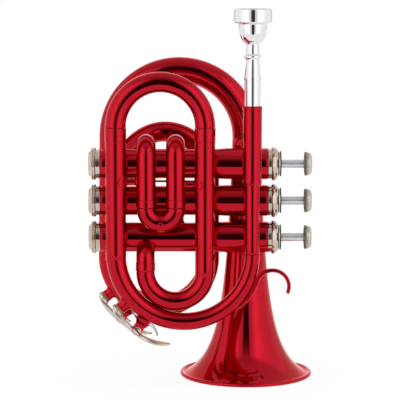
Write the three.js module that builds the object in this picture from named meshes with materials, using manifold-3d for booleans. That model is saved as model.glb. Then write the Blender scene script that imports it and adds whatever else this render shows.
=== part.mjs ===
// A pocket trumpet in B flat that stands on its bell, in millimetres.
// X runs along the valves to the finger buttons, Y = 0 holds the valve axes and grows away from
// the leadpipe, and Z = 0 is the plane of the bell's rim. The last lines centre the whole group.
import * as THREE from "three";
import { mergeVertices } from "three/addons/utils/BufferGeometryUtils.js";
import Module from "manifold-3d";

const wasm = await Module();
wasm.setup();

// Driving dimensions that several pieces share
const GAP = 0.3;
const WALL = 0.8;
const TUBE_SIDES = 10;
const FRONT_Y = -19;
const BACK_Y = 29.6;

// Valves: axes along X, one above the other
const VALVE_SPACING = 25.8;
const MIDDLE_VALVE_Z = 129.6;
const VALVE_Z = [1, 0, -1].map((step) => MIDDLE_VALVE_Z + step * VALVE_SPACING);
const CASING = { left: -70, right: 47.6, radius: 10.4, upperRadius: 10.75, bore: 8.75, sides: 16 };
const FLARE = { from: 13, to: 22 };
const THREAD = { radius: 9.7, left: -75.2, right: 52.2 };
const GUIDE_SEAT = { x: 5.5, bore: 9.3 };
const PISTON = {
  left: -52,
  recess: 15.5,
  recessRadius: 7,
  floor: 5,
  plate: 40,
  right: 42.5,
  radius: 8.4,
  barrelBore: 7.3,
};
const PISTON_PORTS = { radius: 5.2, places: [[-30, 0], [-17.5, 90], [-5, 25]] };
const SLOT = { width: 5.8, top: 25 };
const GUIDE = { thickness: 2.5, disc: 6.9, reach: 8.6, width: 5 };
const VALVE_SPRING = { radius: 5.7, wire: 0.6, curls: 5, steps: 6, sides: 4 };
const STEM = { radius: 2.75, thread: 1.9, left: 40.6, shoulder: 42.8, right: 72.5 };
const BUTTON = { left: 72.8, right: 78.4, radius: 8.35 };
const TOP_CAP = {
  left: 47.9,
  ring: 11.2,
  flangeLeft: 50.5,
  flangeRight: 54.5,
  flange: 12.2,
  right: 56.6,
  crown: 9.5,
};
const BOTTOM_CAP = { left: -78.2, flangeRight: -72.9, flange: 11.7, right: -70.3, ring: 10.9 };
const CAP_BORE = THREAD.radius + GAP;
const KNUCKLE = { radius: 5.6, places: [-37, -17] };

// Leadpipe side, in the plane Y = FRONT_Y
const LEADPIPE = { x: 36, radius: 4.8, top: 143.5 };
const RECEIVER = { bottom: 143.8, top: 196.5, radius: 6.1, lip: 6.45, bore: 5.7, innerBore: 4.7, sides: 16 };
const BIG_BOW = { radius: 47, z: 94.2, endRadius: 6.3 };
const LEFT_LEG = { x: LEADPIPE.x - 2 * BIG_BOW.radius, radius: 6.55 };
const RIGHT_LEG = { x: 3.5, radius: 6.1, bottom: 82 };
const MAIN_SLIDE = { top: 181.6, ferrule: 10, ferruleRadius: 7, engaged: 56 };
const SLIDE_FIT = 0.35;
const SMALL_BOW = { radius: 20.25, endRadius: 5.8, portZ: 95.8, elbow: 6.5 };
const INLET_FERRULE = { bottom: 83, length: 5.5, radius: 6.4 };
const LEG_BRACE = { z: 143.5, middleY: -11.6, endY: -15.5, thin: 1, thick: 2.6 };

// Mouthpiece, in line with the leadpipe
const MOUTHPIECE = {
  top: 263.2,
  rim: 13.45,
  cup: 8.2,
  cupDepth: 11.5,
  throat: 1.85,
  shankBore: 4,
  bottom: 177,
  sides: 16,
};

// First valve slide, in front of the valves
const FIRST_SLIDE = { x: [-37.1, -16.9], radius: 5.85, ferruleBottom: 126.1, bendZ: 161.65, engaged: 26 };
const PULL_KNOB = { stalk: 1.5, from: 4, neck: 7.6, head: 2.1, end: 9.7 };
// Second valve slide, straight back between the bell tubes
const SECOND_SLIDE = { x: [-49, -35.5], radius: 5.6, end: 28, engaged: 14 };
// Third valve slide, up behind the other valves
const THIRD_SLIDE = { x: [-17.5, 3.4], radius: 5.6, y: 16.6, elbow: 5.8, end: 143, engaged: 25 };
const SLIDE_FERRULE = { length: 5.3, extra: 0.65 };

// Bell side, in the plane Y = BACK_Y: a horn whose radius falls off as a power of the height
const BELL = {
  x: 33.1,
  radius: 47.5,
  throat: 20,
  power: 0.751,
  flareStart: 2.8,
  top: 171.5,
  wall: 0.9,
  sides: 24,
  steps: 10,
};
const TOP_BOW = { radius: 48.8, endRadius: 7.5 };
const SIDE_TUBE_X = BELL.x - 2 * TOP_BOW.radius;
const BACK_BOW = { radius: 35.5, z: 86, endRadius: 7.1 };
const RETURN_X = SIDE_TUBE_X + 2 * BACK_BOW.radius;
const RETURN_BOW = { radius: 31.75, z: 144.3, forward: 30, turn: 70, endRadius: 6.3 };

// Water keys: nipple, cork, cup, lever and spring, measured from the tube's surface
const KEY = {
  frontAngle: 40.5,
  backAngle: 36.8,
  nipple: 4.1,
  drain: 2.2,
  nippleTop: 3.8,
  cork: 4.1,
  corkTop: 5.7,
};
const KEY_PIVOT = { x: 18.9, z: 5.7, pin: 1, hole: 1.3, hub: 2.3, hubHalf: 1.25 };
const KEY_SADDLE = { inner: 5.3, outer: 6.4, half: 3 };
const KEY_LEVER = { thickness: 1.7, cup: 5, cupLip: 5.1, cupTop: 7.4 };
const KEY_SPRING = {
  radius: 2.35,
  wire: 0.35,
  pitch: 1.15,
  outerY: 4.6,
  from: 217,
  to: -468,
  steps: 8,
  sides: 5,
};

// Finger hook on the big bow, and the braces
const HOOK = { thickness: 2.6, half: 2.75, foot: -45, leave: -20, radius: 10.5, end: -18, steps: 10 };
const BRACE = { radius: 2.2, foot: 4.4, footLength: 2.5, upperZ: 176, lowerZ: 88, valveX: 33 };

const LACQUER = { color: 0xb5121f, roughness: 0.16, metalness: 0.9 };
const NICKEL = { color: 0xc4bcae, roughness: 0.22, metalness: 1 };
const SILVER = { color: 0xe6e8ea, roughness: 0.12, metalness: 1 };
const STEEL = { color: 0xb9bcc0, roughness: 0.3, metalness: 1 };
const CORK = { color: 0xb08c66, roughness: 0.9, metalness: 0 };
const NYLON = { color: 0xe9e4d6, roughness: 0.6, metalness: 0 };

const UP = new THREE.Vector3(0, 0, 1);
const DOWN = new THREE.Vector3(0, 0, -1);
const BACK = new THREE.Vector3(0, 1, 0);
const RIGHT = new THREE.Vector3(1, 0, 0);
const LEFT = new THREE.Vector3(-1, 0, 0);
const radians = THREE.MathUtils.degToRad;
const lerp = THREE.MathUtils.lerp;

// A geometry as a closed solid that can be joined and cut
function solid(geometry) {
  const bare = geometry.clone();
  bare.deleteAttribute("normal");
  bare.deleteAttribute("uv");
  const merged = mergeVertices(bare, 1e-4);
  const vertProperties = merged.attributes.position.array;
  const triVerts = new Uint32Array(merged.index.array);
  return new wasm.Manifold(new wasm.Mesh({ numProp: 3, vertProperties, triVerts }));
}

function geometryOf(body) {
  const mesh = body.getMesh();
  const geometry = new THREE.BufferGeometry();
  geometry.setAttribute("position", new THREE.BufferAttribute(mesh.vertProperties, 3));
  geometry.setIndex(new THREE.BufferAttribute(mesh.triVerts, 1));
  return geometry;
}

// A named piece, from a solid, inside a group
function piece(group, name, body, finish) {
  const mesh = new THREE.Mesh(geometryOf(body), new THREE.MeshStandardMaterial(finish));
  mesh.name = name;
  group.add(mesh);
}

// A turned solid from [radius, height] pairs that go up outside, about the Z or the X axis
function turned(profile, sides, axis = "z") {
  const points = profile.map(([radius, height]) => new THREE.Vector2(radius, height));
  const [first, last] = [points[0], points[points.length - 1]];
  if (first.x > 0 || last.x > 0) points.push(first.clone());
  const geometry = new THREE.LatheGeometry(points, sides);
  if (axis === "z") geometry.rotateX(Math.PI / 2);
  if (axis === "x") geometry.rotateZ(-Math.PI / 2);
  return solid(geometry);
}

function rod(radius, from, to, sides, axis) {
  return turned([[0, from], [radius, from], [radius, to], [0, to]], sides, axis);
}

// An outline in the XZ plane as a plate from y = low to y = high
function plate(outline, low, high) {
  const shape = outline instanceof THREE.Shape ? outline : new THREE.Shape(outline);
  const settings = { depth: high - low, bevelEnabled: false, curveSegments: 6 };
  const geometry = new THREE.ExtrudeGeometry(shape, settings);
  geometry.rotateX(Math.PI / 2);
  geometry.translate(0, high, 0);
  return solid(geometry);
}

// The route of a tube: stations with a place, a heading and a radius
class Route {
  constructor(start, way, radius, wall = WALL) {
    this.stations = [{ at: new THREE.Vector3(...start), way: way.clone(), radius }];
    this.wall = wall;
  }

  get end() {
    return this.stations[this.stations.length - 1];
  }

  straight(length, radius = this.end.radius) {
    const { at, way } = this.end;
    this.stations.push({ at: at.clone().addScaledVector(way, length), way: way.clone(), radius });
    return this;
  }

  // A sudden change of radius, over a short cone
  step(radius) {
    return this.straight(0.3, radius);
  }

  bend(bendRadius, degrees, toward, steps, radius = this.end.radius) {
    const from = this.end;
    const axis = from.way.clone().cross(toward).normalize();
    const centre = from.at.clone().addScaledVector(toward, bendRadius);
    for (let k = 1; k <= steps; k += 1) {
      const turn = radians(degrees * k / steps);
      const at = from.at.clone().sub(centre).applyAxisAngle(axis, turn).add(centre);
      const way = from.way.clone().applyAxisAngle(axis, turn);
      this.stations.push({ at, way, radius: lerp(from.radius, radius, k / steps) });
    }
    return this;
  }

  // Stations at the given points, each heading along its neighbours
  through(points, radiusAt) {
    const all = [this.end.at, ...points];
    points.forEach((at, k) => {
      const next = all[Math.min(k + 2, all.length - 1)];
      const way = next.clone().sub(all[k]).normalize();
      this.stations.push({ at, way, radius: radiusAt((k + 1) / points.length) });
    });
    return this;
  }

  // The swept solid, wider by extra; overrun lengthens both ends
  core(extra = 0, overrun = 0, sides = TUBE_SIDES) {
    const count = this.stations.length - 1;
    const ring = Array.from({ length: sides }, (unused, k) => {
      const angle = (k + 0.5) * 2 * Math.PI / sides;
      return new THREE.Vector2(Math.cos(angle), Math.sin(angle));
    });
    const settings = { depth: count, steps: count, bevelEnabled: false };
    const straightBar = new THREE.ExtrudeGeometry(new THREE.Shape(ring), settings);
    const frames = this.frames();
    const points = straightBar.attributes.position;
    for (let i = 0; i < points.count; i += 1) {
      const k = Math.round(points.getZ(i));
      const { at, way, radius } = this.stations[k];
      const { side, up } = frames[k];
      const past = k === 0 ? -overrun : k === count ? overrun : 0;
      const place = at.clone().addScaledVector(way, past);
      place.addScaledVector(side, points.getX(i) * (radius + extra));
      place.addScaledVector(up, points.getY(i) * (radius + extra));
      points.setXYZ(i, place.x, place.y, place.z);
    }
    return solid(straightBar);
  }

  // A side and an up direction at each station, carried along without twist
  frames() {
    const first = this.stations[0].way;
    let side = Math.abs(first.y) < 0.9 ? BACK.clone() : RIGHT.clone();
    return this.stations.map(({ way }) => {
      side = side.clone().addScaledVector(way, -side.dot(way)).normalize();
      return { side, up: way.clone().cross(side) };
    });
  }

  bore(overrun = 1) {
    return this.core(-this.wall, overrun);
  }

  pipe() {
    return this.core().subtract(this.bore());
  }
}

// The least distance between two stretches of a wire's centre line, less the wire's thickness
function leastGap(points, wire, apart) {
  let least = Infinity;
  for (let i = 0; i < points.length; i += 1) {
    for (let j = i + apart; j < points.length; j += 1) {
      least = Math.min(least, points[i].distanceTo(points[j]) - 2 * wire);
    }
  }
  return least;
}

const instrument = new THREE.Group();

// Bell: rolled rim, then the flare up to the top bow
const bellRadius = (z) => BELL.radius * (BELL.throat / (z + BELL.throat)) ** BELL.power;
const flare = Array.from({ length: BELL.steps }, (unused, k) => {
  const span = (BELL.top + BELL.throat) / (BELL.flareStart + BELL.throat);
  return (BELL.flareStart + BELL.throat) * span ** (k / (BELL.steps - 1)) - BELL.throat;
});
const rim = [[-2.2, 0], [-0.6, 0], [0, 0.9], [0, 2], [-0.9, 2.9], [-2.1, 2.7]];
const outerSkin = flare.map((z) => [bellRadius(z), z]);
const innerSkin = flare.map((z, k) => {
  const slope = BELL.power * bellRadius(z) / (z + BELL.throat);
  const lean = Math.hypot(1, slope);
  const lower = k === BELL.steps - 1 ? 0 : BELL.wall * slope / lean;
  return [bellRadius(z) - BELL.wall / lean, z - lower];
});
const rimSkin = rim.map(([inward, z]) => [BELL.radius + inward, z]);
const bellProfile = [...rimSkin, ...outerSkin, ...innerSkin.reverse()];
const bell = turned(bellProfile, BELL.sides).translate(BELL.x, BACK_Y, 0);
piece(instrument, "bell", bell, LACQUER);

// Bell tube: over the top, down the left side, round the back bow and up to the first valve
const topBow = new Route([BELL.x, BACK_Y, BELL.top + GAP], UP, bellRadius(BELL.top), BELL.wall)
  .bend(TOP_BOW.radius, 180, LEFT, 10, TOP_BOW.endRadius)
  .straight(BELL.top - BACK_BOW.z);
const backBow = new Route([SIDE_TUBE_X, BACK_Y, BACK_BOW.z], DOWN, TOP_BOW.endRadius)
  .bend(BACK_BOW.radius, 180, RIGHT, 8, BACK_BOW.endRadius);
const returnCentreX = RETURN_X - RETURN_BOW.radius;
const forwardSteps = 5;
const forwardPoints = Array.from({ length: forwardSteps }, (unused, k) => {
  const part = (k + 1) / forwardSteps;
  const turn = radians(90 + RETURN_BOW.turn * part);
  const x = returnCentreX + RETURN_BOW.radius * Math.cos(turn);
  const z = RETURN_BOW.z + RETURN_BOW.radius * Math.sin(turn);
  return new THREE.Vector3(x, BACK_Y - RETURN_BOW.forward * part ** 2, z);
});
const returnBow = new Route([RETURN_X, BACK_Y, BACK_BOW.z + GAP], UP, BACK_BOW.endRadius)
  .straight(RETURN_BOW.z - BACK_BOW.z - GAP)
  .bend(RETURN_BOW.radius, 90, LEFT, 5)
  .through(forwardPoints, (part) => lerp(BACK_BOW.endRadius, RETURN_BOW.endRadius, part));

// Slides: outer legs with a ferrule at the open end, and a sliding bow with two inner legs
function outerLeg(start, way, radius, straights) {
  const route = new Route(start, way, radius + SLIDE_FERRULE.extra)
    .straight(SLIDE_FERRULE.length)
    .step(radius);
  return straights(route);
}

function slidingBow(legs, open, radius, out, across, engaged, bendSteps) {
  const [from, to] = legs;
  const span = from.distanceTo(to);
  const inner = radius - WALL - SLIDE_FIT;
  const start = from.clone().addScaledVector(out, GAP - engaged);
  return new Route(start.toArray(), out, inner, 0.7)
    .straight(engaged - 0.3)
    .step(radius)
    .straight(open)
    .bend(span / 2, 180, across, bendSteps)
    .straight(open)
    .step(inner)
    .straight(engaged - 0.3);
}

const firstOuter = FIRST_SLIDE.x.map((x) =>
  outerLeg([x, FRONT_Y, FIRST_SLIDE.ferruleBottom], UP, FIRST_SLIDE.radius, (route) =>
    route.straight(FIRST_SLIDE.bendZ - route.end.at.z)
      .bend(-FRONT_Y / 2, 180, BACK, 5)
      .straight(3)));
const secondOuter = SECOND_SLIDE.x.map((x) =>
  outerLeg([x, SECOND_SLIDE.end, VALVE_Z[1]], BACK.clone().negate(), SECOND_SLIDE.radius, (route) =>
    route.straight(route.end.at.y - 4)));
const thirdOuter = THIRD_SLIDE.x.map((x) =>
  outerLeg([x, THIRD_SLIDE.y, THIRD_SLIDE.end], DOWN, THIRD_SLIDE.radius, (route) =>
    route.straight(route.end.at.z - VALVE_Z[2] - THIRD_SLIDE.elbow)
      .bend(THIRD_SLIDE.elbow, 90, BACK.clone().negate(), 3)
      .straight(7)));

// Leadpipe side: small bow into the third valve
const smallBow = new Route([RIGHT_LEG.x, FRONT_Y, RIGHT_LEG.bottom], DOWN, RIGHT_LEG.radius)
  .bend(SMALL_BOW.radius, 180, LEFT, 8, SMALL_BOW.endRadius)
  .straight(INLET_FERRULE.bottom - RIGHT_LEG.bottom)
  .step(INLET_FERRULE.radius)
  .straight(INLET_FERRULE.length)
  .step(SMALL_BOW.endRadius)
  .straight(SMALL_BOW.portZ - SMALL_BOW.elbow - INLET_FERRULE.bottom - INLET_FERRULE.length - 0.6)
  .bend(SMALL_BOW.elbow, 90, BACK, 3)
  .straight(7);

// Valve casings: turned tubes with thread ends, ports and knuckles
const casingProfile = [
  [THREAD.radius, THREAD.left],
  [THREAD.radius, CASING.left],
  [CASING.radius, CASING.left],
  [CASING.radius, FLARE.from],
  [CASING.upperRadius, FLARE.to],
  [CASING.upperRadius, CASING.right],
  [THREAD.radius, CASING.right],
  [THREAD.radius, THREAD.right],
];
const casingBoreProfile = [
  [0, THREAD.left - 1],
  [CASING.bore, THREAD.left - 1],
  [CASING.bore, GUIDE_SEAT.x],
  [GUIDE_SEAT.bore, GUIDE_SEAT.x],
  [GUIDE_SEAT.bore, THREAD.right + 1],
  [0, THREAD.right + 1],
];
const atValve = (body, index) => body.translate(0, 0, VALVE_Z[index]);
const casingBody = turned([[0, THREAD.left], ...casingProfile, [0, THREAD.right]], CASING.sides, "x");
const casingBore = turned(casingBoreProfile, CASING.sides, "x");
const casingRoom = rod(CASING.radius + GAP, CASING.left, FLARE.from, CASING.sides, "x");

const knuckles = KNUCKLE.places.map((x, index) =>
  new Route([x, 0, VALVE_Z[1]], index === 0 ? UP : DOWN, KNUCKLE.radius).straight(VALVE_SPACING));
const ports = [
  [...firstOuter, returnBow, knuckles[0]],
  [...secondOuter, ...knuckles],
  [...thirdOuter, smallBow, knuckles[1]],
];
ports.forEach((routes, index) => {
  let body = atValve(casingBody, index);
  if (index === 1) {
    const neighbours = atValve(casingRoom, 0).add(atValve(casingRoom, 2));
    const stubs = knuckles[0].core().add(knuckles[1].core());
    body = body.add(stubs.subtract(neighbours));
  }
  const reach = rod(CASING.radius + 4, CASING.left, FLARE.from, CASING.sides, "x");
  const local = atValve(reach, index);
  for (const route of routes) body = body.subtract(route.bore(0).intersect(local));
  body = body.subtract(atValve(casingBore, index));
  piece(instrument, `valve_casing_${index + 1}`, body, LACQUER);
});

// Tubes that end on a casing are cut to its surface
const fitted = (route, index) => route.pipe().subtract(atValve(casingRoom, index));
piece(instrument, "bell_top_bow", topBow.pipe(), LACQUER);
piece(instrument, "bell_return_bow", fitted(returnBow, 0), LACQUER);
["left", "right"].forEach((side, k) => {
  piece(instrument, `first_slide_outer_${side}`, fitted(firstOuter[k], 0), LACQUER);
  piece(instrument, `second_slide_outer_${side}`, fitted(secondOuter[k], 1), LACQUER);
  piece(instrument, `third_slide_outer_${side}`, fitted(thirdOuter[k], 2), LACQUER);
});
piece(instrument, "third_valve_inlet_bow", fitted(smallBow, 2), LACQUER);

const legsAt = (xs, y, z) => xs.map((x) => new THREE.Vector3(x, y, z));
const firstSlide = slidingBow(
  legsAt(FIRST_SLIDE.x, FRONT_Y, FIRST_SLIDE.ferruleBottom),
  0.2, FIRST_SLIDE.radius, DOWN, RIGHT, FIRST_SLIDE.engaged, 6);
const knobPlace = [(FIRST_SLIDE.x[0] + FIRST_SLIDE.x[1]) / 2, FRONT_Y, FIRST_SLIDE.ferruleBottom];
const knobDrop = (FIRST_SLIDE.x[1] - FIRST_SLIDE.x[0]) / 2 + 0.8;
const knobProfile = [
  [0, PULL_KNOB.from],
  [PULL_KNOB.stalk, PULL_KNOB.from],
  [PULL_KNOB.stalk, PULL_KNOB.neck],
  [PULL_KNOB.head, PULL_KNOB.neck + 0.4],
  [PULL_KNOB.head - 0.2, PULL_KNOB.end - 0.5],
  [0, PULL_KNOB.end],
];
const knob = turned(knobProfile, 10)
  .rotate([90, 0, 0])
  .translate(knobPlace[0], knobPlace[1], knobPlace[2] - knobDrop);
const firstSlideBody = firstSlide.core().add(knob).subtract(firstSlide.bore());
piece(instrument, "first_valve_slide", firstSlideBody, LACQUER);
const secondSlide = slidingBow(
  legsAt(SECOND_SLIDE.x, SECOND_SLIDE.end, VALVE_Z[1]),
  3, SECOND_SLIDE.radius, BACK, RIGHT, SECOND_SLIDE.engaged, 6);
piece(instrument, "second_valve_slide", secondSlide.pipe(), LACQUER);
const thirdSlide = slidingBow(
  legsAt(THIRD_SLIDE.x, THIRD_SLIDE.y, THIRD_SLIDE.end),
  3, THIRD_SLIDE.radius, UP, RIGHT, THIRD_SLIDE.engaged, 6);
piece(instrument, "third_valve_slide", thirdSlide.pipe(), LACQUER);

// Leadpipe, its receiver and the big bow under the instrument
const bigBow = new Route([LEADPIPE.x, FRONT_Y, BIG_BOW.z], DOWN, LEADPIPE.radius)
  .bend(BIG_BOW.radius, 180, LEFT, 12, BIG_BOW.endRadius);
const leadpipe = new Route([LEADPIPE.x, FRONT_Y, LEADPIPE.top], DOWN, LEADPIPE.radius)
  .straight(LEADPIPE.top - BIG_BOW.z - GAP);
piece(instrument, "leadpipe", leadpipe.pipe(), LACQUER);
const receiverProfile = [
  [LEADPIPE.radius - WALL, RECEIVER.bottom],
  [RECEIVER.radius + 0.3, RECEIVER.bottom],
  [RECEIVER.radius + 0.3, RECEIVER.bottom + 2.4],
  [RECEIVER.radius, RECEIVER.bottom + 2.6],
  [RECEIVER.radius, RECEIVER.top - 6],
  [RECEIVER.lip, RECEIVER.top - 5],
  [RECEIVER.lip, RECEIVER.top],
  [RECEIVER.bore, RECEIVER.top],
  [RECEIVER.innerBore, MOUTHPIECE.bottom - 1],
];
const receiver = turned(receiverProfile, RECEIVER.sides).translate(LEADPIPE.x, FRONT_Y, 0);
piece(instrument, "mouthpiece_receiver", receiver, LACQUER);

// Main tuning slide: two outer tubes with ferrules, the bow and its inner legs, and the brace
function mainOuter(leg, bottom) {
  return new Route([leg.x, FRONT_Y, bottom + GAP], UP, leg.radius)
    .straight(MAIN_SLIDE.top - MAIN_SLIDE.ferrule - bottom - GAP)
    .step(leg.radius + MAIN_SLIDE.ferruleRadius - LEFT_LEG.radius)
    .straight(MAIN_SLIDE.ferrule - 0.3);
}
const leftOuter = mainOuter(LEFT_LEG, BIG_BOW.z);
const rightOuter = mainOuter(RIGHT_LEG, RIGHT_LEG.bottom);
piece(instrument, "tuning_slide_outer_left", leftOuter.pipe(), LACQUER);
piece(instrument, "tuning_slide_outer_right", rightOuter.pipe(), LACQUER);
const innerOf = (leg) => leg.radius - WALL - SLIDE_FIT;
const slideFoot = MAIN_SLIDE.top + GAP - MAIN_SLIDE.engaged;
const tuningSlide = new Route([LEFT_LEG.x, FRONT_Y, slideFoot], UP, innerOf(LEFT_LEG), 0.7)
  .straight(MAIN_SLIDE.engaged)
  .step(LEFT_LEG.radius)
  .bend((RIGHT_LEG.x - LEFT_LEG.x) / 2, 180, RIGHT, 10, RIGHT_LEG.radius)
  .step(innerOf(RIGHT_LEG))
  .straight(MAIN_SLIDE.engaged);
piece(instrument, "main_tuning_slide", tuningSlide.pipe(), LACQUER);

const braceHalf = (RIGHT_LEG.x - LEFT_LEG.x) / 2 - 4;
const braceMiddle = (RIGHT_LEG.x + LEFT_LEG.x) / 2;
const bracePlaces = [-1, -0.86, -0.6, -0.3, 0.3, 0.6, 0.86, 1];
const bracePoint = (part) => {
  const y = lerp(LEG_BRACE.middleY, LEG_BRACE.endY, part ** 4);
  return new THREE.Vector3(braceMiddle + braceHalf * part, y, LEG_BRACE.z);
};
const braceRadius = (part) => lerp(LEG_BRACE.thin, LEG_BRACE.thick, Math.abs(part) ** 3);
const legBrace = new Route(bracePoint(-1).toArray(), RIGHT, LEG_BRACE.thick);
legBrace.through(bracePlaces.slice(1).map(bracePoint), () => LEG_BRACE.thin);
legBrace.stations.forEach((station, k) => {
  station.radius = braceRadius(bracePlaces[k]);
});
const legBraceBody = legBrace.core(0, 0, 8).subtract(leftOuter.core(GAP)).subtract(rightOuter.core(GAP));
piece(instrument, "tuning_slide_brace", legBraceBody, LACQUER);

// Braces that run back to the bell, each a rod with a flared foot at both ends
function crossBrace(x, z, from, to) {
  return new Route([x, from, z], BACK, BRACE.foot)
    .straight(BRACE.footLength)
    .straight(1.5, BRACE.radius)
    .straight(to - from - 2 * BRACE.footLength - 3)
    .straight(1.5, BRACE.foot)
    .straight(BRACE.footLength)
    .core(0, 0, 8);
}
const receiverRoom = rod(RECEIVER.radius + GAP, RECEIVER.bottom, RECEIVER.top, RECEIVER.sides)
  .translate(LEADPIPE.x, FRONT_Y, 0);
const topReach = BACK_Y - bellRadius(BRACE.upperZ);
const upperBrace = crossBrace(LEADPIPE.x, BRACE.upperZ, FRONT_Y + 4, topReach + 2)
  .subtract(topBow.core(GAP))
  .subtract(receiverRoom);
piece(instrument, "bell_brace_upper", upperBrace, LACQUER);
const lowerReach = BACK_Y - bellRadius(BRACE.lowerZ);
const bellSkin = (reach) => {
  const profile = flare.map((z) => [bellRadius(z) + reach, z]);
  return turned([[0, BELL.flareStart], ...profile, [0, BELL.top]], BELL.sides)
    .translate(BELL.x, BACK_Y, 0);
};
const lowerBrace = crossBrace(LEADPIPE.x, BRACE.lowerZ, FRONT_Y + 3, lowerReach + 3)
  .subtract(bellSkin(GAP))
  .subtract(bigBow.core(GAP));
piece(instrument, "bell_brace_lower", lowerBrace, LACQUER);
const valveBraceRoom = rod(CASING.upperRadius + GAP, FLARE.to, CASING.right, CASING.sides, "x");
const valveBrace = crossBrace(BRACE.valveX, VALVE_Z[1], 8, BACK_Y - bellRadius(VALVE_Z[1]) + 3)
  .subtract(bellSkin(GAP))
  .subtract(atValve(valveBraceRoom, 1));
piece(instrument, "valve_brace", valveBrace, LACQUER);

// Finger hook: a strap that hugs the big bow, leaves it at a tangent and curls over
const hookHug = BIG_BOW.radius + LEADPIPE.radius + 2 * GAP + HOOK.thickness / 2;
const onCircle = (x, z, radius, degrees) =>
  new THREE.Vector2(x + radius * Math.cos(radians(degrees)), z + radius * Math.sin(radians(degrees)));
const bowX = LEADPIPE.x - BIG_BOW.radius;
const curlCentre = onCircle(bowX, BIG_BOW.z, hookHug + HOOK.radius, HOOK.leave);
const hugSteps = 3;
const hookCurve = [];
for (let k = 0; k < hugSteps; k += 1) {
  hookCurve.push(onCircle(bowX, BIG_BOW.z, hookHug, lerp(HOOK.foot, HOOK.leave, k / hugSteps)));
}
for (let k = 0; k <= HOOK.steps; k += 1) {
  const degrees = lerp(HOOK.leave + 180, HOOK.end, k / HOOK.steps);
  hookCurve.push(onCircle(curlCentre.x, curlCentre.y, HOOK.radius, degrees));
}
// The two edges of a strip along a polyline, as one closed outline
function stripOutline(line, thickness) {
  const edge = (sign) => line.map((point, k) => {
    const before = line[Math.max(k - 1, 0)];
    const after = line[Math.min(k + 1, line.length - 1)];
    const along = after.clone().sub(before).normalize();
    const aside = new THREE.Vector2(-along.y, along.x).multiplyScalar(sign * thickness / 2);
    return point.clone().add(aside);
  });
  return [...edge(-1), ...edge(1).reverse()];
}
const hook = plate(stripOutline(hookCurve, HOOK.thickness), -HOOK.half, HOOK.half)
  .translate(0, FRONT_Y, 0)
  .subtract(bigBow.core(GAP));
const hookParts = hook.decompose().sort((a, b) => b.volume() - a.volume());
piece(instrument, "finger_hook", hookParts[0], LACQUER);

// Water keys: each sits on a bow, with its own frame of x along the tube and z outwards
function keyFrame(centreX, y, centreZ, surface, degrees) {
  const angle = radians(degrees);
  const out = new THREE.Vector3(-Math.cos(angle), 0, -Math.sin(angle));
  const along = new THREE.Vector3(Math.sin(angle), 0, -Math.cos(angle));
  const frame = new THREE.Matrix4().makeBasis(along, out.clone().cross(along), out);
  frame.setPosition(new THREE.Vector3(centreX, y, centreZ).addScaledVector(out, surface));
  return frame;
}
const placed = (body, frame) => {
  const geometry = geometryOf(body);
  geometry.applyMatrix4(frame);
  return solid(geometry);
};

// The spring's two legs press on the bow, and its loop lies under the lever
const springWire = KEY_SPRING.wire;
const springLeg = new THREE.Vector3(-0.6, 0, 0.8);
function springPoints() {
  const { x, z } = KEY_PIVOT;
  const { radius, pitch, outerY, steps } = KEY_SPRING;
  const turns = (KEY_SPRING.from - KEY_SPRING.to) / 360;
  const count = Math.round(turns * steps);
  const onCoil = (part) => {
    const angle = radians(KEY_SPRING.from - 360 * turns * part);
    const y = outerY - pitch * turns * part;
    return new THREE.Vector3(x + radius * Math.cos(angle), y, z + radius * Math.sin(angle));
  };
  const half = Array.from({ length: count + 1 }, (unused, k) => onCoil(k / count));
  const legLength = 14;
  const foot = half[0].clone().addScaledVector(springLeg, -legLength);
  const innerY = half[count].y;
  const head = [
    new THREE.Vector3(x - 8.2, innerY, z + 0.35),
    new THREE.Vector3(x - 9.4, innerY * 0.6, z + 0.7),
  ];
  const side = [foot, ...half, ...head];
  const mirrored = side.map((point) => new THREE.Vector3(point.x, -point.y, point.z)).reverse();
  return [...side, ...mirrored];
}
const keySpringLine = springPoints();
const keySpringGap = leastGap(keySpringLine, springWire, 5);
console.log("water key spring, least gap to itself:", keySpringGap.toFixed(2), "mm");
const keySpringRoute = new Route(keySpringLine[0].toArray(), springLeg, springWire);
keySpringRoute.through(keySpringLine.slice(1), () => springWire);
const keySpring = keySpringRoute.core(0, 0, KEY_SPRING.sides);

const leverLine = new THREE.SplineCurve([
  new THREE.Vector2(-3, 6.9),
  new THREE.Vector2(9, 8.3),
  new THREE.Vector2(KEY_PIVOT.x, 7.5),
  new THREE.Vector2(30, 3),
  new THREE.Vector2(40.6, -5.5),
]).getPoints(10);
const leverPlan = new THREE.Shape();
leverPlan.moveTo(-3, -2.4);
leverPlan.lineTo(10, -2.6);
leverPlan.lineTo(14.5, -KEY_PIVOT.hubHalf);
leverPlan.lineTo(23.5, -KEY_PIVOT.hubHalf);
leverPlan.lineTo(30, -4.2);
leverPlan.lineTo(37, -4.2);
leverPlan.quadraticCurveTo(44, 0, 37, 4.2);
leverPlan.lineTo(30, 4.2);
leverPlan.lineTo(23.5, KEY_PIVOT.hubHalf);
leverPlan.lineTo(14.5, KEY_PIVOT.hubHalf);
leverPlan.lineTo(10, 2.6);
leverPlan.lineTo(-3, 2.4);
const planSettings = { depth: 24, bevelEnabled: false, curveSegments: 5 };
const planCutter = solid(new THREE.ExtrudeGeometry(leverPlan, planSettings))
  .translate(0, 0, -planSettings.depth / 2);
const hinge = (radius, from, to, sides) => rod(radius, from, to, sides)
  .rotate([-90, 0, 0])
  .translate(KEY_PIVOT.x, 0, KEY_PIVOT.z);
const cupProfile = [
  [KEY.cork + 0.35, KEY_LEVER.cupLip],
  [KEY_LEVER.cup, KEY_LEVER.cupLip],
  [KEY_LEVER.cup, 6.6],
  [3.4, KEY_LEVER.cupTop],
  [0, KEY_LEVER.cupTop + 0.3],
  [0, KEY.corkTop + GAP],
  [KEY.cork + 0.35, KEY.corkTop + GAP],
];
const cup = turned(cupProfile, 14);
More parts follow.
